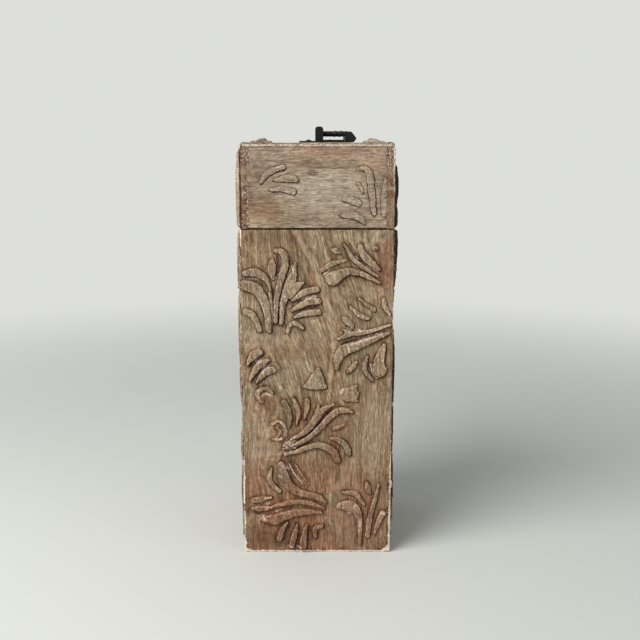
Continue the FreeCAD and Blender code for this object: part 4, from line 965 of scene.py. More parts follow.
# The darkest cuts: dark stain, and painted shade in the deep gaps and along the right edges.
STAIN_AND_SHADE = tone(40, 27, 19)
# Pale rubbed wood, also used as the painted highlight on the crests.
RUBBED_AND_LIT = tone(212, 185, 168)
BARE = tone(224, 209, 193)
GREY = tone(176, 163, 146)
GRAIN_ALONG = {"Z": (0, 0, 0), "X": (0, math.radians(90), 0), "Y": (math.radians(90), 0, 0)}
LEAF_GREY = 0.6
WOOD_SHINE = 0.12
WOOD_BUMP = {"Strength": 0.6, "Distance": 0.0006}
TINT_SHIFT = 0.37


def tinted(tree, place, colour, tint, offset, amount):
    """Soft patches of a tint, some centimetres wide, laid over a colour."""
    shifted = vector_sums(tree, "ADD", place, (offset, 2 * offset, 3 * offset))
    patches = cloud(tree, in_millimetres(tree, shifted, 0.6), 0.045, 4.0, 0.6)
    return mixed(tree, ramp(tree, patches, 0.47, 0.64, 0.0, amount), colour, tint)


def leaning(tree, place, centre, reach_across, reach_up, shift):
    """Coordinates whose upright lines lean to the left round one place, by a shift in millimetres."""
    away = vector_sums(tree, "SUBTRACT", place, [value * MM for value in centre])
    parts = put(tree, "ShaderNodeSeparateXYZ", {0: away}).outputs
    push = ramp(tree, parts["Z"], -reach_up * MM, reach_up * MM, -shift * MM, shift * MM)
    near = ramp(tree, sums(tree, "ABSOLUTE", parts["X"]), reach_across * MM, 0.25 * reach_across * MM)
    moved_by = put(tree, "ShaderNodeCombineXYZ", {"X": sums(tree, "MULTIPLY", push, near)}).outputs[0]
    return vector_sums(tree, "ADD", place, moved_by)


def limed_wood(name, along, deep, middle, lime, lime_amount=0.6, sway=14.0, spots=(), tints=(), lean=None):
    """Brushed, stained and limed wood with its grain along one axis.

    A spot is its tint, centre, spread, strength and way of mixing, and a tint has its amount."""
    material = bpy.data.materials.new(name)
    material.use_nodes = True
    tree = material.node_tree
    shader = tree.nodes["Principled BSDF"]
    place = put(tree, "ShaderNodeTexCoord").outputs["Object"]
    turned = put(tree, "ShaderNodeMapping", {"Vector": place, "Rotation": GRAIN_ALONG[along]}).outputs[0]
    if lean:
        turned = leaning(tree, turned, *lean)
    grain = use_group(tree, GRAIN, {"Vector": turned, "Sway": sway})
    bands, streaks, lines, pores, mottle = (grain[label] for label in GRAIN_VALUES)
    masks = {label: put(tree, "ShaderNodeAttribute", attribute_name=label.lower()).outputs["Fac"]
             for label in MASKS}
    colour = mixed(tree, ramp(tree, bands, 0.32, 0.68), deep, middle)
    for index, (tint, amount) in enumerate(tints):
        colour = tinted(tree, turned, colour, tint, TINT_SHIFT * (index + 1), amount)
    brushed = cloud(tree, in_millimetres(tree, turned, 0.3), 0.05, 2.0)
    brushed = ramp(tree, brushed, 0.4, 0.62, 0.25, 1.0)
    limed = sums(tree, "MULTIPLY", ramp(tree, lines, 0.48, 0.7), brushed)
    limed = sums(tree, "ADD", limed, ramp(tree, streaks, 0.52, 0.68, 0.0, 0.7))
    limed = sums(tree, "ADD", limed, ramp(tree, mottle, 0.48, 0.76, 0.0, 0.6))
    limed = sums(tree, "MINIMUM", sums(tree, "MULTIPLY", limed, lime_amount), 1.0)
    colour = mixed(tree, sums(tree, "MULTIPLY", masks["Band"], LEAF_GREY), colour, GREY)
    colour = mixed(tree, limed, colour, lime)
    colour = mixed(tree, sums(tree, "MULTIPLY", masks["Band"], -1.0), colour, lime)
    for tint, centre, spread, strength, blend in spots:
        spot = use_group(tree, SPOT, {"Vector": place, "Centre": [value * MM for value in centre],
                                      "Inverse Spread": [1 / (value * MM) for value in spread]})
        colour = mixed(tree, sums(tree, "MULTIPLY", spot["Mask"], strength), colour, tint, blend)
    colour = mixed(tree, ramp(tree, lines, 0.49, 0.31, 0.0, 0.9), colour, deep)
    colour = mixed(tree, 1.0, colour, ramp(tree, pores, 0.28, 0.68, 0.6, 1.27), "MULTIPLY")
    colour = mixed(tree, 1.0, colour, ramp(tree, mottle, 0.3, 0.7, 0.8, 1.16), "MULTIPLY")
    wear = use_group(tree, WEAR, {"Vector": place, "Colour": colour, "Line": LINE, "Stain_And_Shade": STAIN_AND_SHADE,
                                  "Rubbed_And_Lit": RUBBED_AND_LIT, "Bare": BARE, **masks})
    feed(tree, shader.inputs["Base Color"], wear["Colour"])
    feed(tree, shader.inputs["Roughness"], ramp(tree, lines, 0.3, 0.7, 0.80, 0.64))
    shader.inputs["Specular IOR Level"].default_value = WOOD_SHINE
    relief = sums(tree, "ADD", sums(tree, "MULTIPLY", lines, 0.5), sums(tree, "MULTIPLY", pores, 0.3))
    relief = sums(tree, "ADD", relief, sums(tree, "MULTIPLY", mottle, 0.45))
    bump = put(tree, "ShaderNodeBump", {"Height": relief, **WOOD_BUMP})
    feed(tree, shader.inputs["Normal"], bump.outputs[0])
    return material


# %% [markdown]
# Now the woods of this box. The box and its lid have different browns, and the lid's grain runs across.
# The front is redder and darker towards its foot, its grain leans to the left round the stem, and each board
# has its own spots. Inside, the wood was never stained.

# %% The woods of the box
OLIVE, WARM, PLUM = tone(134, 120, 96), tone(148, 112, 80), tone(116, 92, 80)
PINK, PALE, DARK_BROWN = tone(166, 134, 116), tone(168, 150, 127), tone(92, 66, 48)
RED_BROWN, FOOT_TINT = tone(126, 84, 66), tone(242, 211, 199)
CREAM, DARK_RED = tone(208, 190, 154), tone(102, 68, 50)
BODY_DEEP, BODY_MIDDLE, BODY_LIME = tone(106, 83, 61), tone(144, 121, 95), tone(184, 165, 138)
LID_DEEP, LID_MIDDLE, LID_LIME = tone(130, 112, 94), tone(152, 135, 115), tone(178, 164, 145)
INNER_DEEP, INNER_MIDDLE, INNER_LIME = tone(120, 88, 58), tone(150, 114, 80), tone(166, 134, 100)
FACE_Y = -60
FRONT_LEAN = ((2, FACE_Y, 200), 58, 100, 22)
SPOT_DEPTH = 40


def face_spots(*spots):
    """Spots on the front, each given by its tint, x, z, spread across and up, and strength."""
    return [(tint, (x, FACE_Y, z), (across, SPOT_DEPTH, up), strength, "MIX")
            for tint, x, z, across, up, strength in spots]


body_tints = [(OLIVE, 0.7), (WARM, 0.5), (PALE, 0.4)]
lid_tints = [(WARM, 0.3), (PLUM, 0.5), (PALE, 0.5), (OLIVE, 0.6)]
# Redder and darker towards the foot of the front.
foot_tint = [(FOOT_TINT, (0, FACE_Y, -60), (320, 320, 215), 1.0, "MULTIPLY")]
front_spots = foot_tint + face_spots(
    (RED_BROWN, 56, 240, 14, 34, 0.6),
    (DARK_BROWN, -24, 12, 36, 30, 0.4),
    (DARK_BROWN, -35, 262, 44, 10, 0.45),
    (PALE, 46, 105, 20, 44, 0.5),
    (PALE, -50, 98, 16, 32, 0.45),
    (PALE, -36, 181, 34, 14, 0.4),
    (PINK, 30, 28, 40, 46, 0.3),
    (PINK, -27, 73, 10, 9, 0.5),
    (PINK, 26, 137, 9, 9, 0.12),
    (DARK_RED, -47, 15, 18, 18, 0.55),
    (RED_BROWN, -2, 104, 38, 28, 0.22),
    (DARK_BROWN, -7, 253, 22, 15, 0.2),
    (DARK_BROWN, -45, 150, 16, 26, 0.2),
    (RED_BROWN, -42, 131, 8, 9, 0.4),
    (DARK_BROWN, -14, 171, 24, 12, 0.14),
)
front_wood = limed_wood("limed_front", "Z", BODY_DEEP, BODY_MIDDLE, BODY_LIME, spots=front_spots,
                        tints=body_tints, lean=FRONT_LEAN)
side_wood = limed_wood("limed_sides", "Z", BODY_DEEP, BODY_MIDDLE, BODY_LIME, tints=body_tints)
print("spots on the front:", len(front_spots))

# %% The woods of the lid, and the bare wood inside
lid_front_spots = face_spots(
    (PINK, 16, 326, 60, 6, 0.4),
    (PINK, 42, 319, 17, 13, 0.6),
    (GREY, 6, 298, 54, 22, 0.5),
    (WARM, -42, 282, 26, 16, 0.5),
    (OLIVE, -26, 273, 20, 9, 0.5),
    (DARK_BROWN, -42, 287, 20, 14, 0.36),
    (PLUM, -46, 312, 16, 16, 0.5),
    (DARK_BROWN, -54, 294, 8, 14, 0.6),
    (DARK_BROWN, -4, 311, 7, 3, 0.7),
    (DARK_BROWN, 14, 315, 30, 1.6, 0.5),
    (DARK_BROWN, -14, 319, 30, 1.6, 0.45),
    (RED_BROWN, 14, 328, 38, 5, 0.4),
    (PINK, 44, 329, 13, 5, 0.6),
    (DARK_BROWN, 54.6, 322, 2, 12, 0.8),
)
corner_spots = [
    (CREAM, (61, -64, 328), (7, 8, 14), 0.9, "MIX"),
    (CREAM, (-60, -64, 334), (8, 8, 5), 0.8, "MIX"),
]
end_spots = corner_spots + [
    (PALE, (61, -62, 284), (7, 9, 26), 0.75, "MIX"),
    (GREY, (-61, -62, 311), (7, 9, 10), 0.7, "MIX"),
]
top_spots = corner_spots + [(PINK, (10, -66, 335), (90, 5, 4), 0.6, "MIX")]
lid_wood = limed_wood("limed_lid_front", "X", LID_DEEP, LID_MIDDLE, LID_LIME, 0.42, 16.0,
                      spots=lid_front_spots, tints=lid_tints)
lid_side_wood = limed_wood("limed_lid_sides", "Y", LID_DEEP, LID_MIDDLE, LID_LIME, spots=end_spots,
                           tints=lid_tints)
top_wood = limed_wood("limed_lid_top", "X", LID_DEEP, LID_MIDDLE, LID_LIME, spots=top_spots, tints=lid_tints)
inner_wood = limed_wood("bare_inner_wood", "Z", INNER_DEEP, INNER_MIDDLE, INNER_LIME, 0.3)
print("wood materials:", [material.name for material in bpy.data.materials])

# %% [markdown]
# ## The boards of the box
# The front and back boards overlap the sides, so they are full width. Each carved board gets its leaves,
# and the plain boards go through the same steps without any: a grid, the carving, the worn rim, the sides
# and the back. The masks travel along as attributes of the mesh.

# %% A carved board
FRONT_RISE = -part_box("front_board")[0].y / MM - HALF_DEPTH
SIDE_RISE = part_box("right_board")[1].x / MM - HALF_WIDTH
LID_FRONT_RISE = -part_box("lid_front_board")[0].y / MM - HALF_DEPTH
LID_WALL = LID_WALL_TOP - LID_FOOT
CUT = 0.5
# How far the sides' narrow gaps are cut and painted dark as shade.
SIDE_GAPS = 0.6
SMEAR = 1.55
SMEAR_SLOPE = (-0.6, 0.5)
SMEAR_DRIFT = 0.6
SEAM_STAIN = (1.1, 0.1)
DOMED_FROM, DOMED_TO = 46, 50
END_REACH = 4.0
# Steps from the face to the back: depth, inset and stain.
EDGE_STEPS = [(0.4 + 0.7 * i, 0.0, 0.0) for i in range(8)] + [(WALL, 0.3, 0.0)]
PLAIN_STEPS = [(WALL / 2, 0.0, 0.0), (WALL - 0.4, 0.0, 0.0), (WALL, 0.3, 0.0)]
LID_STEPS = [(0.5, 0.0, 0.0), (1.1, 0.0, 0.0), (1.7, 0.0, 0.0), (WALL - 1, 0.0, 0.0), (WALL - 0.4, 0.0, 0.0),
             (WALL, 0.08, 0.0)]


def drift(x, z):
    """A small uneven shift of an outline, in millimetres."""
    return ripple(x, z, 1.9, 1.9, 8.8)


def edge_dome(x):
    """Flat leaves in the middle of a side, domed ones along its upright edges."""
    share = ease(DOMED_FROM, DOMED_TO, np.abs(x))
    return [flat + (domed - flat) * share for flat, domed in zip(FLAT_LEAF, DOMED_LEAF)]


def carved_board(width, tall, leaves, rise, soft, worn, steps=PLAIN_STEPS, face_width=None, seam=None,
                 ends=None, places=(), smears=(), edged=False, **cutting):
    """A board in front of us in millimetres: carved face, worn rim and sides, with its mask layers.

    face_width is how far the carving runs on over other boards, seam the height of a stained joint, ends the
    cracked ends by height, places and smears where crests are rubbed, and edged domes the outer leaves."""
    crisp = [item for item in leaves if item[0] >= LOW_LEAF] + [(1.0, cutting.get("cuts", ()))]
    soft_bands = [item for item in leaves if item[0] < LOW_LEAF]

    def measure(x, z):
        """Small along leaves, and kept above the second reach along the stem and the edges."""
        once = np.minimum(outline_distance(soft_bands, x, z), border_distance(width, tall, x, z))
        return np.minimum(outline_distance(crisp, x, z), once + ONLY_ONCE)

    bm = face_grid(width, tall, measure)
    x, _, z = points_of(bm.verts)
    if edged:
        cutting["dome"] = edge_dome(x)
    height, masks = carve(leaves, rise, CUT if leaves else 0.0, x, z, **cutting)
    masks["crest"] *= rubbed(x, z, places)
    if smears:
        inside = depth_inside(smears, x, z) + SMEAR_DRIFT * drift(x, z)
        masks["crest"] = np.maximum(masks["crest"], SMEAR * ease(*SMEAR_SLOPE, inside))
    drop, masks["rim"], stain = wear_rim(width, tall, soft, worn, x, z)
    masks["groove"] = np.maximum(masks["groove"], stain)
    masks["end"] = np.zeros(x.shape)
    if ends:
        share = np.where(x < 0, np.interp(z, *zip(*ends[0])), np.interp(z, *zip(*ends[1])))
        masks["end"] = share * ease(END_REACH, 0.0, width / 2 - np.abs(x))
    if seam is not None:
        masks["groove"] = np.maximum(masks["groove"], ease(*SEAM_STAIN, np.abs(z - seam)))
    height *= ease(0.0, 1.0, border_distance(face_width or width, tall, x, z))
    layers = lay_in(bm, height - drop, masks)
    close_back(bm, thicken(bm, outer_rim(bm), steps, layers))
    return bm, layers


print(f"relief: front {FRONT_RISE:.2f}, sides {SIDE_RISE:.2f}, lid front {LID_FRONT_RISE:.2f} mm")

# %% [markdown]
# The leaves of a side run on over the edges of the front and back boards, so these edges are carved with
# them after the boards have been thickened. The right edge of the front is painted dark as shade. The lid
# is the other way round: its sides run past its front and show their end grain there, and the leaves at
# the front of its right side are painted dark as shade too.

# %% Edges that the leaves run over, and end grain
AT_FACE = 0.01
EDGE_LINE = 0.55
EDGE_LINE_DEPTH, EDGE_LINE_WIDTH = 1.8, 0.5
# Painted shade on the right edges, near the front.
DARK_EDGE = 2.2
DARK_REACH = 4.0
DARK_SLOPE = (DARK_REACH + 0.8, DARK_REACH - 1.2)
RAISED = 0.15
AT_END, BELOW_FACE, ON_LEAF = 0.6, 0.2, 0.4
END_SLOPE = (2.2, 0.9)
END_STAIN = 0.8
# Cracked ends and worn edges of the lid's sides by height, left and right.
LID_ENDS = ([(0, 0.7), (16, 0.65), (20, 0.9), (31, 0.9), (36, 0.1), (46, 0.1), (50, 0.95), (60, 0.95)],
            [(0, 0.34), (20, 0.3), (24, 0.55), (38, 0.5), (43, 0.3), (50, 0.75), (60, 0.85)])
LID_RIMS = ([(0, 0.0), (LID_WALL - 7, 0.0), (LID_WALL - 1, 0.5)],
            [(0, 0.2), (26, 0.35), (34, 0.5), (LID_WALL - 8, 0.6), (LID_WALL - 2, 0.75)])


def carve_edges(bm, layers, edges, dark=()):
    """Carries the leaves of the sides over the upright edges of a board, some of them painted dark as shade.
    """
    for side, leaves in edges.items():
        verts = [vert for vert in bm.verts if side * vert.co.x > HALF_WIDTH - AT_FACE]
        _, depth, z = points_of(verts)
        across = side * (depth - HALF_DEPTH)
        height, masks = carve(leaves, SIDE_RISE, CUT, across, z, edge_dome(across))
        height *= ease(0.0, 1.0, border_distance(2 * HALF_DEPTH, BODY_TOP, across, z))
        line = EDGE_LINE * np.exp(-((depth - EDGE_LINE_DEPTH) / EDGE_LINE_WIDTH) ** 2)
        if side in dark:
            line = DARK_EDGE * (height > RAISED) * ease(*DARK_SLOPE, depth + drift(depth, z))
        masks["groove"] = np.maximum(masks["groove"], line)
        for i, vert in enumerate(verts):
            vert.co.x += side * height[i]
            for name in masks:
                vert[layers[name]] = max(vert[layers[name]], masks[name][i])


def show_end_grain(bm, layers, side):
    """Marks the upright ends of a lid's side: the left is stained at its edge, the right is pale there."""
    cracked, worn = list(zip(*LID_ENDS[side > 0])), list(zip(*LID_RIMS[side > 0]))
    for vert in bm.verts:
        if abs(vert.co.x) > HALF_DEPTH - AT_END and vert.co.y > BELOW_FACE:
            at_edge = float(ease(*END_SLOPE, vert.co.y))
            vert[layers["end"]] = float(np.interp(vert.co.z, *cracked))
            vert[layers["rim"]] = at_edge * float(np.interp(vert.co.z, *worn))
            vert[layers["groove"]] = END_STAIN * at_edge * (side < 0)
        # The leaves at the front of the lid's right side are painted dark as shade.
        if side > 0 and vert.co.x < DARK_REACH - HALF_DEPTH and vert.co.y < -ON_LEAF:
            vert[layers["groove"]] = DARK_EDGE


print("shares of cracked end grain, left and right:", len(LID_ENDS[0]), len(LID_ENDS[1]))

# %% [markdown]
# With these steps each board of the box is one call. Wear is given for left, right, foot and head. The
# sides' own upright edges are joints under the front and back boards, so they have none.

# %% The boards of the box
BOARD_RIM, SIDE_RIM = 0.7, 0.5
FRONT_WEAR = (LEFT_WEAR, RIGHT_WEAR, 2.3, 0.4)
SIDE_WEAR = (None, None, 0.8, 0.5)
BACK_WEAR = (0.7, 0.7, 0.8, 0.5)
bm, layers = carved_board(2 * HALF_WIDTH, BODY_TOP, FRONT_CARVING, FRONT_RISE, BOARD_RIM, FRONT_WEAR,
                          EDGE_STEPS, seam=BODY_TOP, places=RUBBED_PLACES, smears=RUBBED_STROKES,
                          cuts=DEEP_CUTS)
carve_edges(bm, layers, {-1: LEFT_CARVING, 1: RIGHT_CARVING}, dark=[1])
make_piece(bm, "carved_front", "box", ["front_board"], [front_wood, inner_wood],
           0, (0, -HALF_DEPTH, 0))
for name, turn, leaves, side in (("left", -90, LEFT_CARVING, -1), ("right", 90, RIGHT_CARVING, 1)):
    bm, _ = carved_board(2 * INNER_DEPTH, BODY_TOP, leaves, SIDE_RISE, SIDE_RIM, SIDE_WEAR,
                         face_width=2 * HALF_DEPTH, seam=BODY_TOP, edged=True, deep=SIDE_GAPS)
    make_piece(bm, f"carved_{name}_side", "box", [f"{name}_board"], [side_wood, inner_wood],
               turn, (side * HALF_WIDTH, 0, 0))
bm, layers = carved_board(2 * HALF_WIDTH, BODY_TOP, [], 0.0, BOARD_RIM, BACK_WEAR, EDGE_STEPS, seam=BODY_TOP)
carve_edges(bm, layers, {1: LEFT_CARVING, -1: RIGHT_CARVING})
make_piece(bm, "plain_back", "box", ["back_board"], [side_wood, inner_wood],
           180, (0, HALF_DEPTH, 0))

# %% [markdown]
# The lid is a low box of the same kind, but its joints are the other way round: the sides overlap the front
# and the back. Its front is carved more finely, with dark lines and hardly any shade beside them.

# %% The boards of the lid
LID_RIM, LID_SIDE_RIM = 0.4, 0.6
LID_FRONT_WEAR = (None, None, 0.1, None)
LID_SIDE_WEAR = (0.4, 0.4, 0.3, None)
LID_BACK_WEAR = (None, None, 0.4, None)
FINE_CUTS = {"line_width": LID_LINE, "slant": 0.3, "ink": 1.0, "halo": 0.4}
bm, _ = carved_board(2 * INNER_WIDTH, LID_WALL, LID_SPRAY, LID_FRONT_RISE, LID_RIM, LID_FRONT_WEAR,
                     seam=0.0, ends=LID_ENDS, **FINE_CUTS)
make_piece(bm, "carved_lid_front", "lid", ["lid_front_board"], [lid_wood, inner_wood],
           0, (0, -HALF_DEPTH, LID_FOOT))
for name, turn, leaves, side in (("left", -90, LID_LEFT_CARVING, -1), ("right", 90, LID_RIGHT_CARVING, 1)):
    bm, layers = carved_board(2 * HALF_DEPTH, LID_WALL, leaves, SIDE_RISE, LID_SIDE_RIM, LID_SIDE_WEAR,
                              LID_STEPS, seam=0.0, edged=True, deep=SIDE_GAPS)
    show_end_grain(bm, layers, side)
    make_piece(bm, f"carved_lid_{name}", "lid", [f"lid_{name}_board"],
               [lid_side_wood, inner_wood], turn, (side * HALF_WIDTH, 0, LID_FOOT))
bm, _ = carved_board(2 * INNER_WIDTH, LID_WALL, [], 0.0, LID_RIM, LID_BACK_WEAR, seam=0.0)
make_piece(bm, "plain_lid_back", "lid", ["lid_back_board"], [top_wood, inner_wood],
           180, (0, HALF_DEPTH, LID_FOOT))

# %% [markdown]
# ## The top of the lid
# The top board lies flat, so it is made upright like the others and tipped back. A groove runs round its
# edge, its corners are rounded and well worn, and the coin slot goes right through, with walls painted
# darker deeper in, as shade, and a pale, rubbed lip.

# %% Top board with its coin slot
SLOT = [[(-29, 13.5, 6), (29, 13.5, 6)]]
TOP_THICK = TOP_FACE - LID_WALL_TOP
TOP_STEPS = [(0.6, 0.0, 0.0), (0.9, 0.3, 0.45), (1.2, 0.3, 0.3), (1.4, 0.0, -0.6), (2.2, 0.0, -0.5),
             (2.7, 0.0, 0.2), (3.1, 0.05, 0.45), (TOP_THICK - 0.2, 0.05, 0.1), (TOP_THICK, 0.1, 0.3)]
# The slot's walls are painted darker the deeper they go: painted shade.
SLOT_STEPS = [(0.6, 0.0, 0.3), (1.0, 0.0, 0.5), (TOP_THICK / 2, 0.0, 0.6), (TOP_THICK, 0.0, 0.9)]
TOP_RIM = 1.1
TOP_WEAR = (0.6, 0.6, 0.55, 0.5)
TOP_CORNER = 3.0
TOP_UNEVEN = 0.5
# The left and right ends are rounded off most at the front, within this reach of it.
END_ROUND, BACK_SHARE = 5.4, 0.25
END_DROP = 3.5
FRONT_END = (9.0, 3.0)
LIP_WIDTH, LIP_DROP, LIP_WEAR = 0.9, 0.35, 0.7


def round_corners(bm, half, radius):
    """Pulls the points outside the round corners of a square sheet on to them."""
    for vert in bm.verts:
        away = Vector((abs(vert.co.x) - half + radius, abs(vert.co.z - half) - half + radius))
        if min(away) > 0 and away.length > radius:
            away *= radius / away.length
            vert.co.x = math.copysign(half - radius + away.x, vert.co.x)
            vert.co.z = half + math.copysign(half - radius + away.y, vert.co.z - half)


def top_board():
    """The lid's top, upright, with its front edge as its foot."""
    size = 2 * HALF_WIDTH

    def measure(x, z):
        """Small along the slot, and kept above the second reach along the edges."""
        return np.minimum(np.abs(depth_inside(SLOT, x, z)), border_distance(size, size, x, z) + ONLY_ONCE)

    bm = face_grid(size, size, measure)
    slot_rim = trim(bm, lambda x, z: -depth_inside(SLOT, x, z))
    x, _, z = points_of(bm.verts)
    height, masks = carve([], 0.0, 0.0, z, x)
    drop, masks["rim"], _ = wear_rim(size, size, TOP_RIM, TOP_WEAR, x, z)
    radius = END_ROUND * (BACK_SHARE + (1 - BACK_SHARE) * ease(*FRONT_END, z))
    bite = np.clip(radius - HALF_WIDTH + np.abs(x), 0, radius)
    drop = np.maximum(drop, np.minimum(END_DROP, radius - np.sqrt(radius ** 2 - bite ** 2)))
    lip = ease(-LIP_WIDTH, 0.0, depth_inside(SLOT, x, z))
    masks["end"] = np.zeros(x.shape)
    masks["rim"] = np.maximum(masks["rim"], LIP_WEAR * lip)
    layers = lay_in(bm, TOP_UNEVEN * height - drop - LIP_DROP * lip, masks)
    round_corners(bm, HALF_WIDTH, TOP_CORNER)
    inner = set(slot_rim)
    outer = thicken(bm, [edge for edge in outer_rim(bm) if edge not in inner], TOP_STEPS, layers)
    close_back(bm, outer + thicken(bm, slot_rim, SLOT_STEPS, layers))
    return bm


make_piece(top_board(), "lid_top", "lid", ["lid_top_board"], [top_wood, inner_wood],
           0, (0, -HALF_DEPTH, TOP_FACE), -90)

# %% [markdown]
# The two sprays on the top are domed leaves, glued on along its left and right. Each is a sheet trimmed
# to the outline of its leaves, carved like a board, with its rim brought down to the top board.

# %% Leaf sprays on the top
TOP_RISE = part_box("top_carving_left")[1].z / MM - TOP_FACE
SPRAY_LOW = 0.08
SPRAY_WEAR = 0.35
SPRAY_STEPS = [(0.0, 0.0, 0.6)]


def top_spray(leaves):
    """Domed leaves on a flat foot."""
    def inside(x, z):
        """Millimetres inside any leaf of the spray."""
        return np.max([depth_inside(strokes, x, z) for _, strokes in leaves], axis=0)

    bm = face_grid(2 * HALF_WIDTH, 2 * HALF_DEPTH, lambda x, z: outline_distance(leaves, x, z))
    trim(bm, inside)
    x, _, z = points_of(bm.verts)
    height, masks = carve(leaves, TOP_RISE, CUT, x, z, DOMED_LEAF)
    masks["rim"] = SPRAY_WEAR * masks["crest"]
    masks["end"] = np.zeros(x.shape)
    layers = lay_in(bm, np.maximum(height, SPRAY_LOW), masks)
    close_back(bm, thicken(bm, outer_rim(bm), SPRAY_STEPS, layers))
    return bm


for name, mirror in (("left", False), ("right", True)):
    bm = top_spray(moved(TOP_SPRAY, up=HALF_DEPTH, mirror=mirror))
    make_piece(bm, f"top_spray_{name}", "lid", [f"top_carving_{name}"],
               [top_wood, inner_wood], 0, (0, -HALF_DEPTH, TOP_FACE), -90)

# %% [markdown]
# ## Iron
# The handle and hinges are forged iron, waxed black. The colour is nearly black everywhere. What makes it
# iron is a hammered surface and a gloss that changes from place to place. Their shapes come from the
# construction model, which has every bend and screw, so they only need the finish. The base board, which
# hardly shows, gets bare wood.

# %% Black iron
IRON_DARK, IRON_PALE = tone(12, 12, 14), tone(30, 29, 28)
IRON_SHINE = 0.22
IRON_BUMP = {"Strength": 0.5, "Distance": 0.0008}


def black_iron():
    """Hammered iron, waxed black."""
    material = bpy.data.materials.new("black_iron")
    material.use_nodes = True
    tree = material.node_tree
    shader = tree.nodes["Principled BSDF"]
    place = in_millimetres(tree, put(tree, "ShaderNodeTexCoord").outputs["Object"])
    dents = cloud(tree, place, 0.34, 2.0)
    grit = cloud(tree, place, 2.2, 3.0, 0.65)
    colour = mixed(tree, ramp(tree, grit, 0.4, 0.75), IRON_DARK, IRON_PALE)
    feed(tree, shader.inputs["Base Color"], colour)
    feed(tree, shader.inputs["Roughness"], ramp(tree, dents, 0.3, 0.7, 0.34, 0.54))
    shader.inputs["Specular IOR Level"].default_value = IRON_SHINE
    relief = sums(tree, "ADD", dents, sums(tree, "MULTIPLY", grit, 0.18))
    bump = put(tree, "ShaderNodeBump", {"Height": relief, **IRON_BUMP})
    feed(tree, shader.inputs["Normal"], bump.outputs[0])
    return material


iron = black_iron()
iron_nodes = [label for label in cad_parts
              if label.startswith(("handle", "hinge")) or label.endswith("pins")]
for label in iron_nodes + ["base_board"]:
    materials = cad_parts[label].data.materials
    materials.clear()
    materials.append(inner_wood if label == "base_board" else iron)
print("iron pieces:", len(iron_nodes))

# %% [markdown]
# ## Floor, light and camera
# A wide pale floor fades into a pale backdrop some way from the box, so that every side can be looked at.
# A large soft lamp stands at the upper left, a weaker one at the right, and a plain grey light surrounds
# them.

# %% Stage
FLOOR_REACH = 6.0
FADE_FROM, FADE_TO = 0.35, 1.3
FLOOR_COLOUR, BACKDROP = tone(200, 201, 196), tone(222, 223, 218)
FLOOR_ROUGHNESS = 0.9
LAMP_TARGET = Vector((0, 0, 0.17))
AIR_COLOUR = tone(226, 230, 228)
AIR_STRENGTH = 0.5


def seen_directly(tree):
    """1 where the camera or a mirror sees a surface, 0 where the surface only lights others."""
    path = put(tree, "ShaderNodeLightPath").outputs
    seen = sums(tree, "MAXIMUM", path["Is Camera Ray"], path["Is Glossy Ray"])
    return sums(tree, "MAXIMUM", seen, path["Is Transmission Ray"])


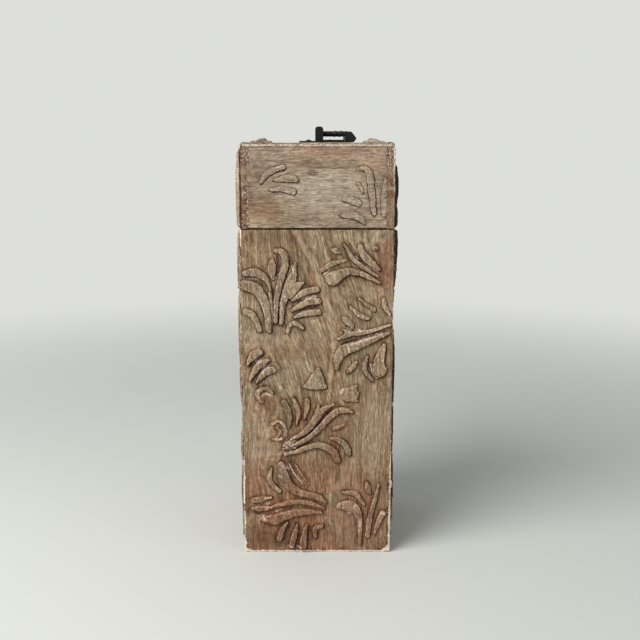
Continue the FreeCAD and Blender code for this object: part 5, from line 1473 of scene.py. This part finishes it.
def build_floor():
    """A flat sheet whose far parts take the colour of the backdrop."""
    bm = bmesh.new()
    bmesh.ops.create_grid(bm, x_segments=1, y_segments=1, size=FLOOR_REACH)
    mesh = bpy.data.meshes.new("floor")
    bm.to_mesh(mesh)
    bm.free()
    floor = bpy.data.objects.new("floor", mesh)
    bpy.context.scene.collection.objects.link(floor)
    material = bpy.data.materials.new("pale_floor")
    material.use_nodes = True
    tree = material.node_tree
    shader = tree.nodes["Principled BSDF"]
    shader.inputs["Base Color"].default_value = FLOOR_COLOUR
    shader.inputs["Roughness"].default_value = FLOOR_ROUGHNESS
    place = put(tree, "ShaderNodeTexCoord").outputs["Object"]
    fade = ramp(tree, length_of(tree, place), FADE_FROM, FADE_TO)
    fade = sums(tree, "MULTIPLY", fade, seen_directly(tree))
    glow = put(tree, "ShaderNodeEmission", {"Color": BACKDROP}).outputs[0]
    joined = put(tree, "ShaderNodeMixShader", {0: fade, 1: shader.outputs[0], 2: glow}).outputs[0]
    feed(tree, tree.nodes["Material Output"].inputs["Surface"], joined)
    mesh.materials.append(material)


def soft_lamp(name, place, size, power):
    """A round lamp that faces the middle of the box."""
    lamp = bpy.data.lights.new(name, "AREA")
    lamp.shape = "DISK"
    lamp.size = size
    lamp.energy = power
    obj = bpy.data.objects.new(name, lamp)
    obj.location = place
    obj.rotation_euler = (LAMP_TARGET - Vector(place)).to_track_quat("-Z", "Y").to_euler()
    bpy.context.scene.collection.objects.link(obj)


build_floor()
soft_lamp("window", place=(-0.8, -0.72, 1.1), size=1.1, power=25.5)
soft_lamp("fill", place=(1.2, -0.9, 0.6), size=1.0, power=3)
world = bpy.data.worlds.new("studio")
bpy.context.scene.world = world
world.use_nodes = True
air = world.node_tree
background = air.nodes["Background"].inputs
feed(air, background["Color"], mixed(air, seen_directly(air), AIR_COLOUR, BACKDROP))
feed(air, background["Strength"], ramp(air, seen_directly(air), 0.0, 1.0, AIR_STRENGTH, 1.0))
bpy.context.scene.view_settings.view_transform = "Standard"
print("lamps:", [light.name for light in bpy.data.lights])

# %% [markdown]
# The camera is at the height of the lid, straight in front, and looks a little down. A lens is easiest to
# match in pixels: the focal length, and the row of the picture at which the horizon lies, give the lens
# and the tilt.

# %% Camera
FRAME_PIXELS = 640
FOCAL_PIXELS = 911.5
HORIZON_PIXEL = 145.5
SENSOR_WIDTH = 36
EYE_PLACE = (0.0022, -0.7675, 0.3318)
eye = bpy.data.cameras.new("eye")
eye.sensor_width = SENSOR_WIDTH
eye.lens = SENSOR_WIDTH * FOCAL_PIXELS / FRAME_PIXELS
camera = bpy.data.objects.new("eye", eye)
camera.location = EYE_PLACE
pitch = math.atan((FRAME_PIXELS / 2 - HORIZON_PIXEL) / FOCAL_PIXELS)
camera.rotation_euler = (math.radians(90) - pitch, 0, 0)
bpy.context.scene.collection.objects.link(camera)
bpy.context.scene.camera = camera
print(f"lens {eye.lens:.1f} mm, looking down by {math.degrees(pitch):.1f} degrees")
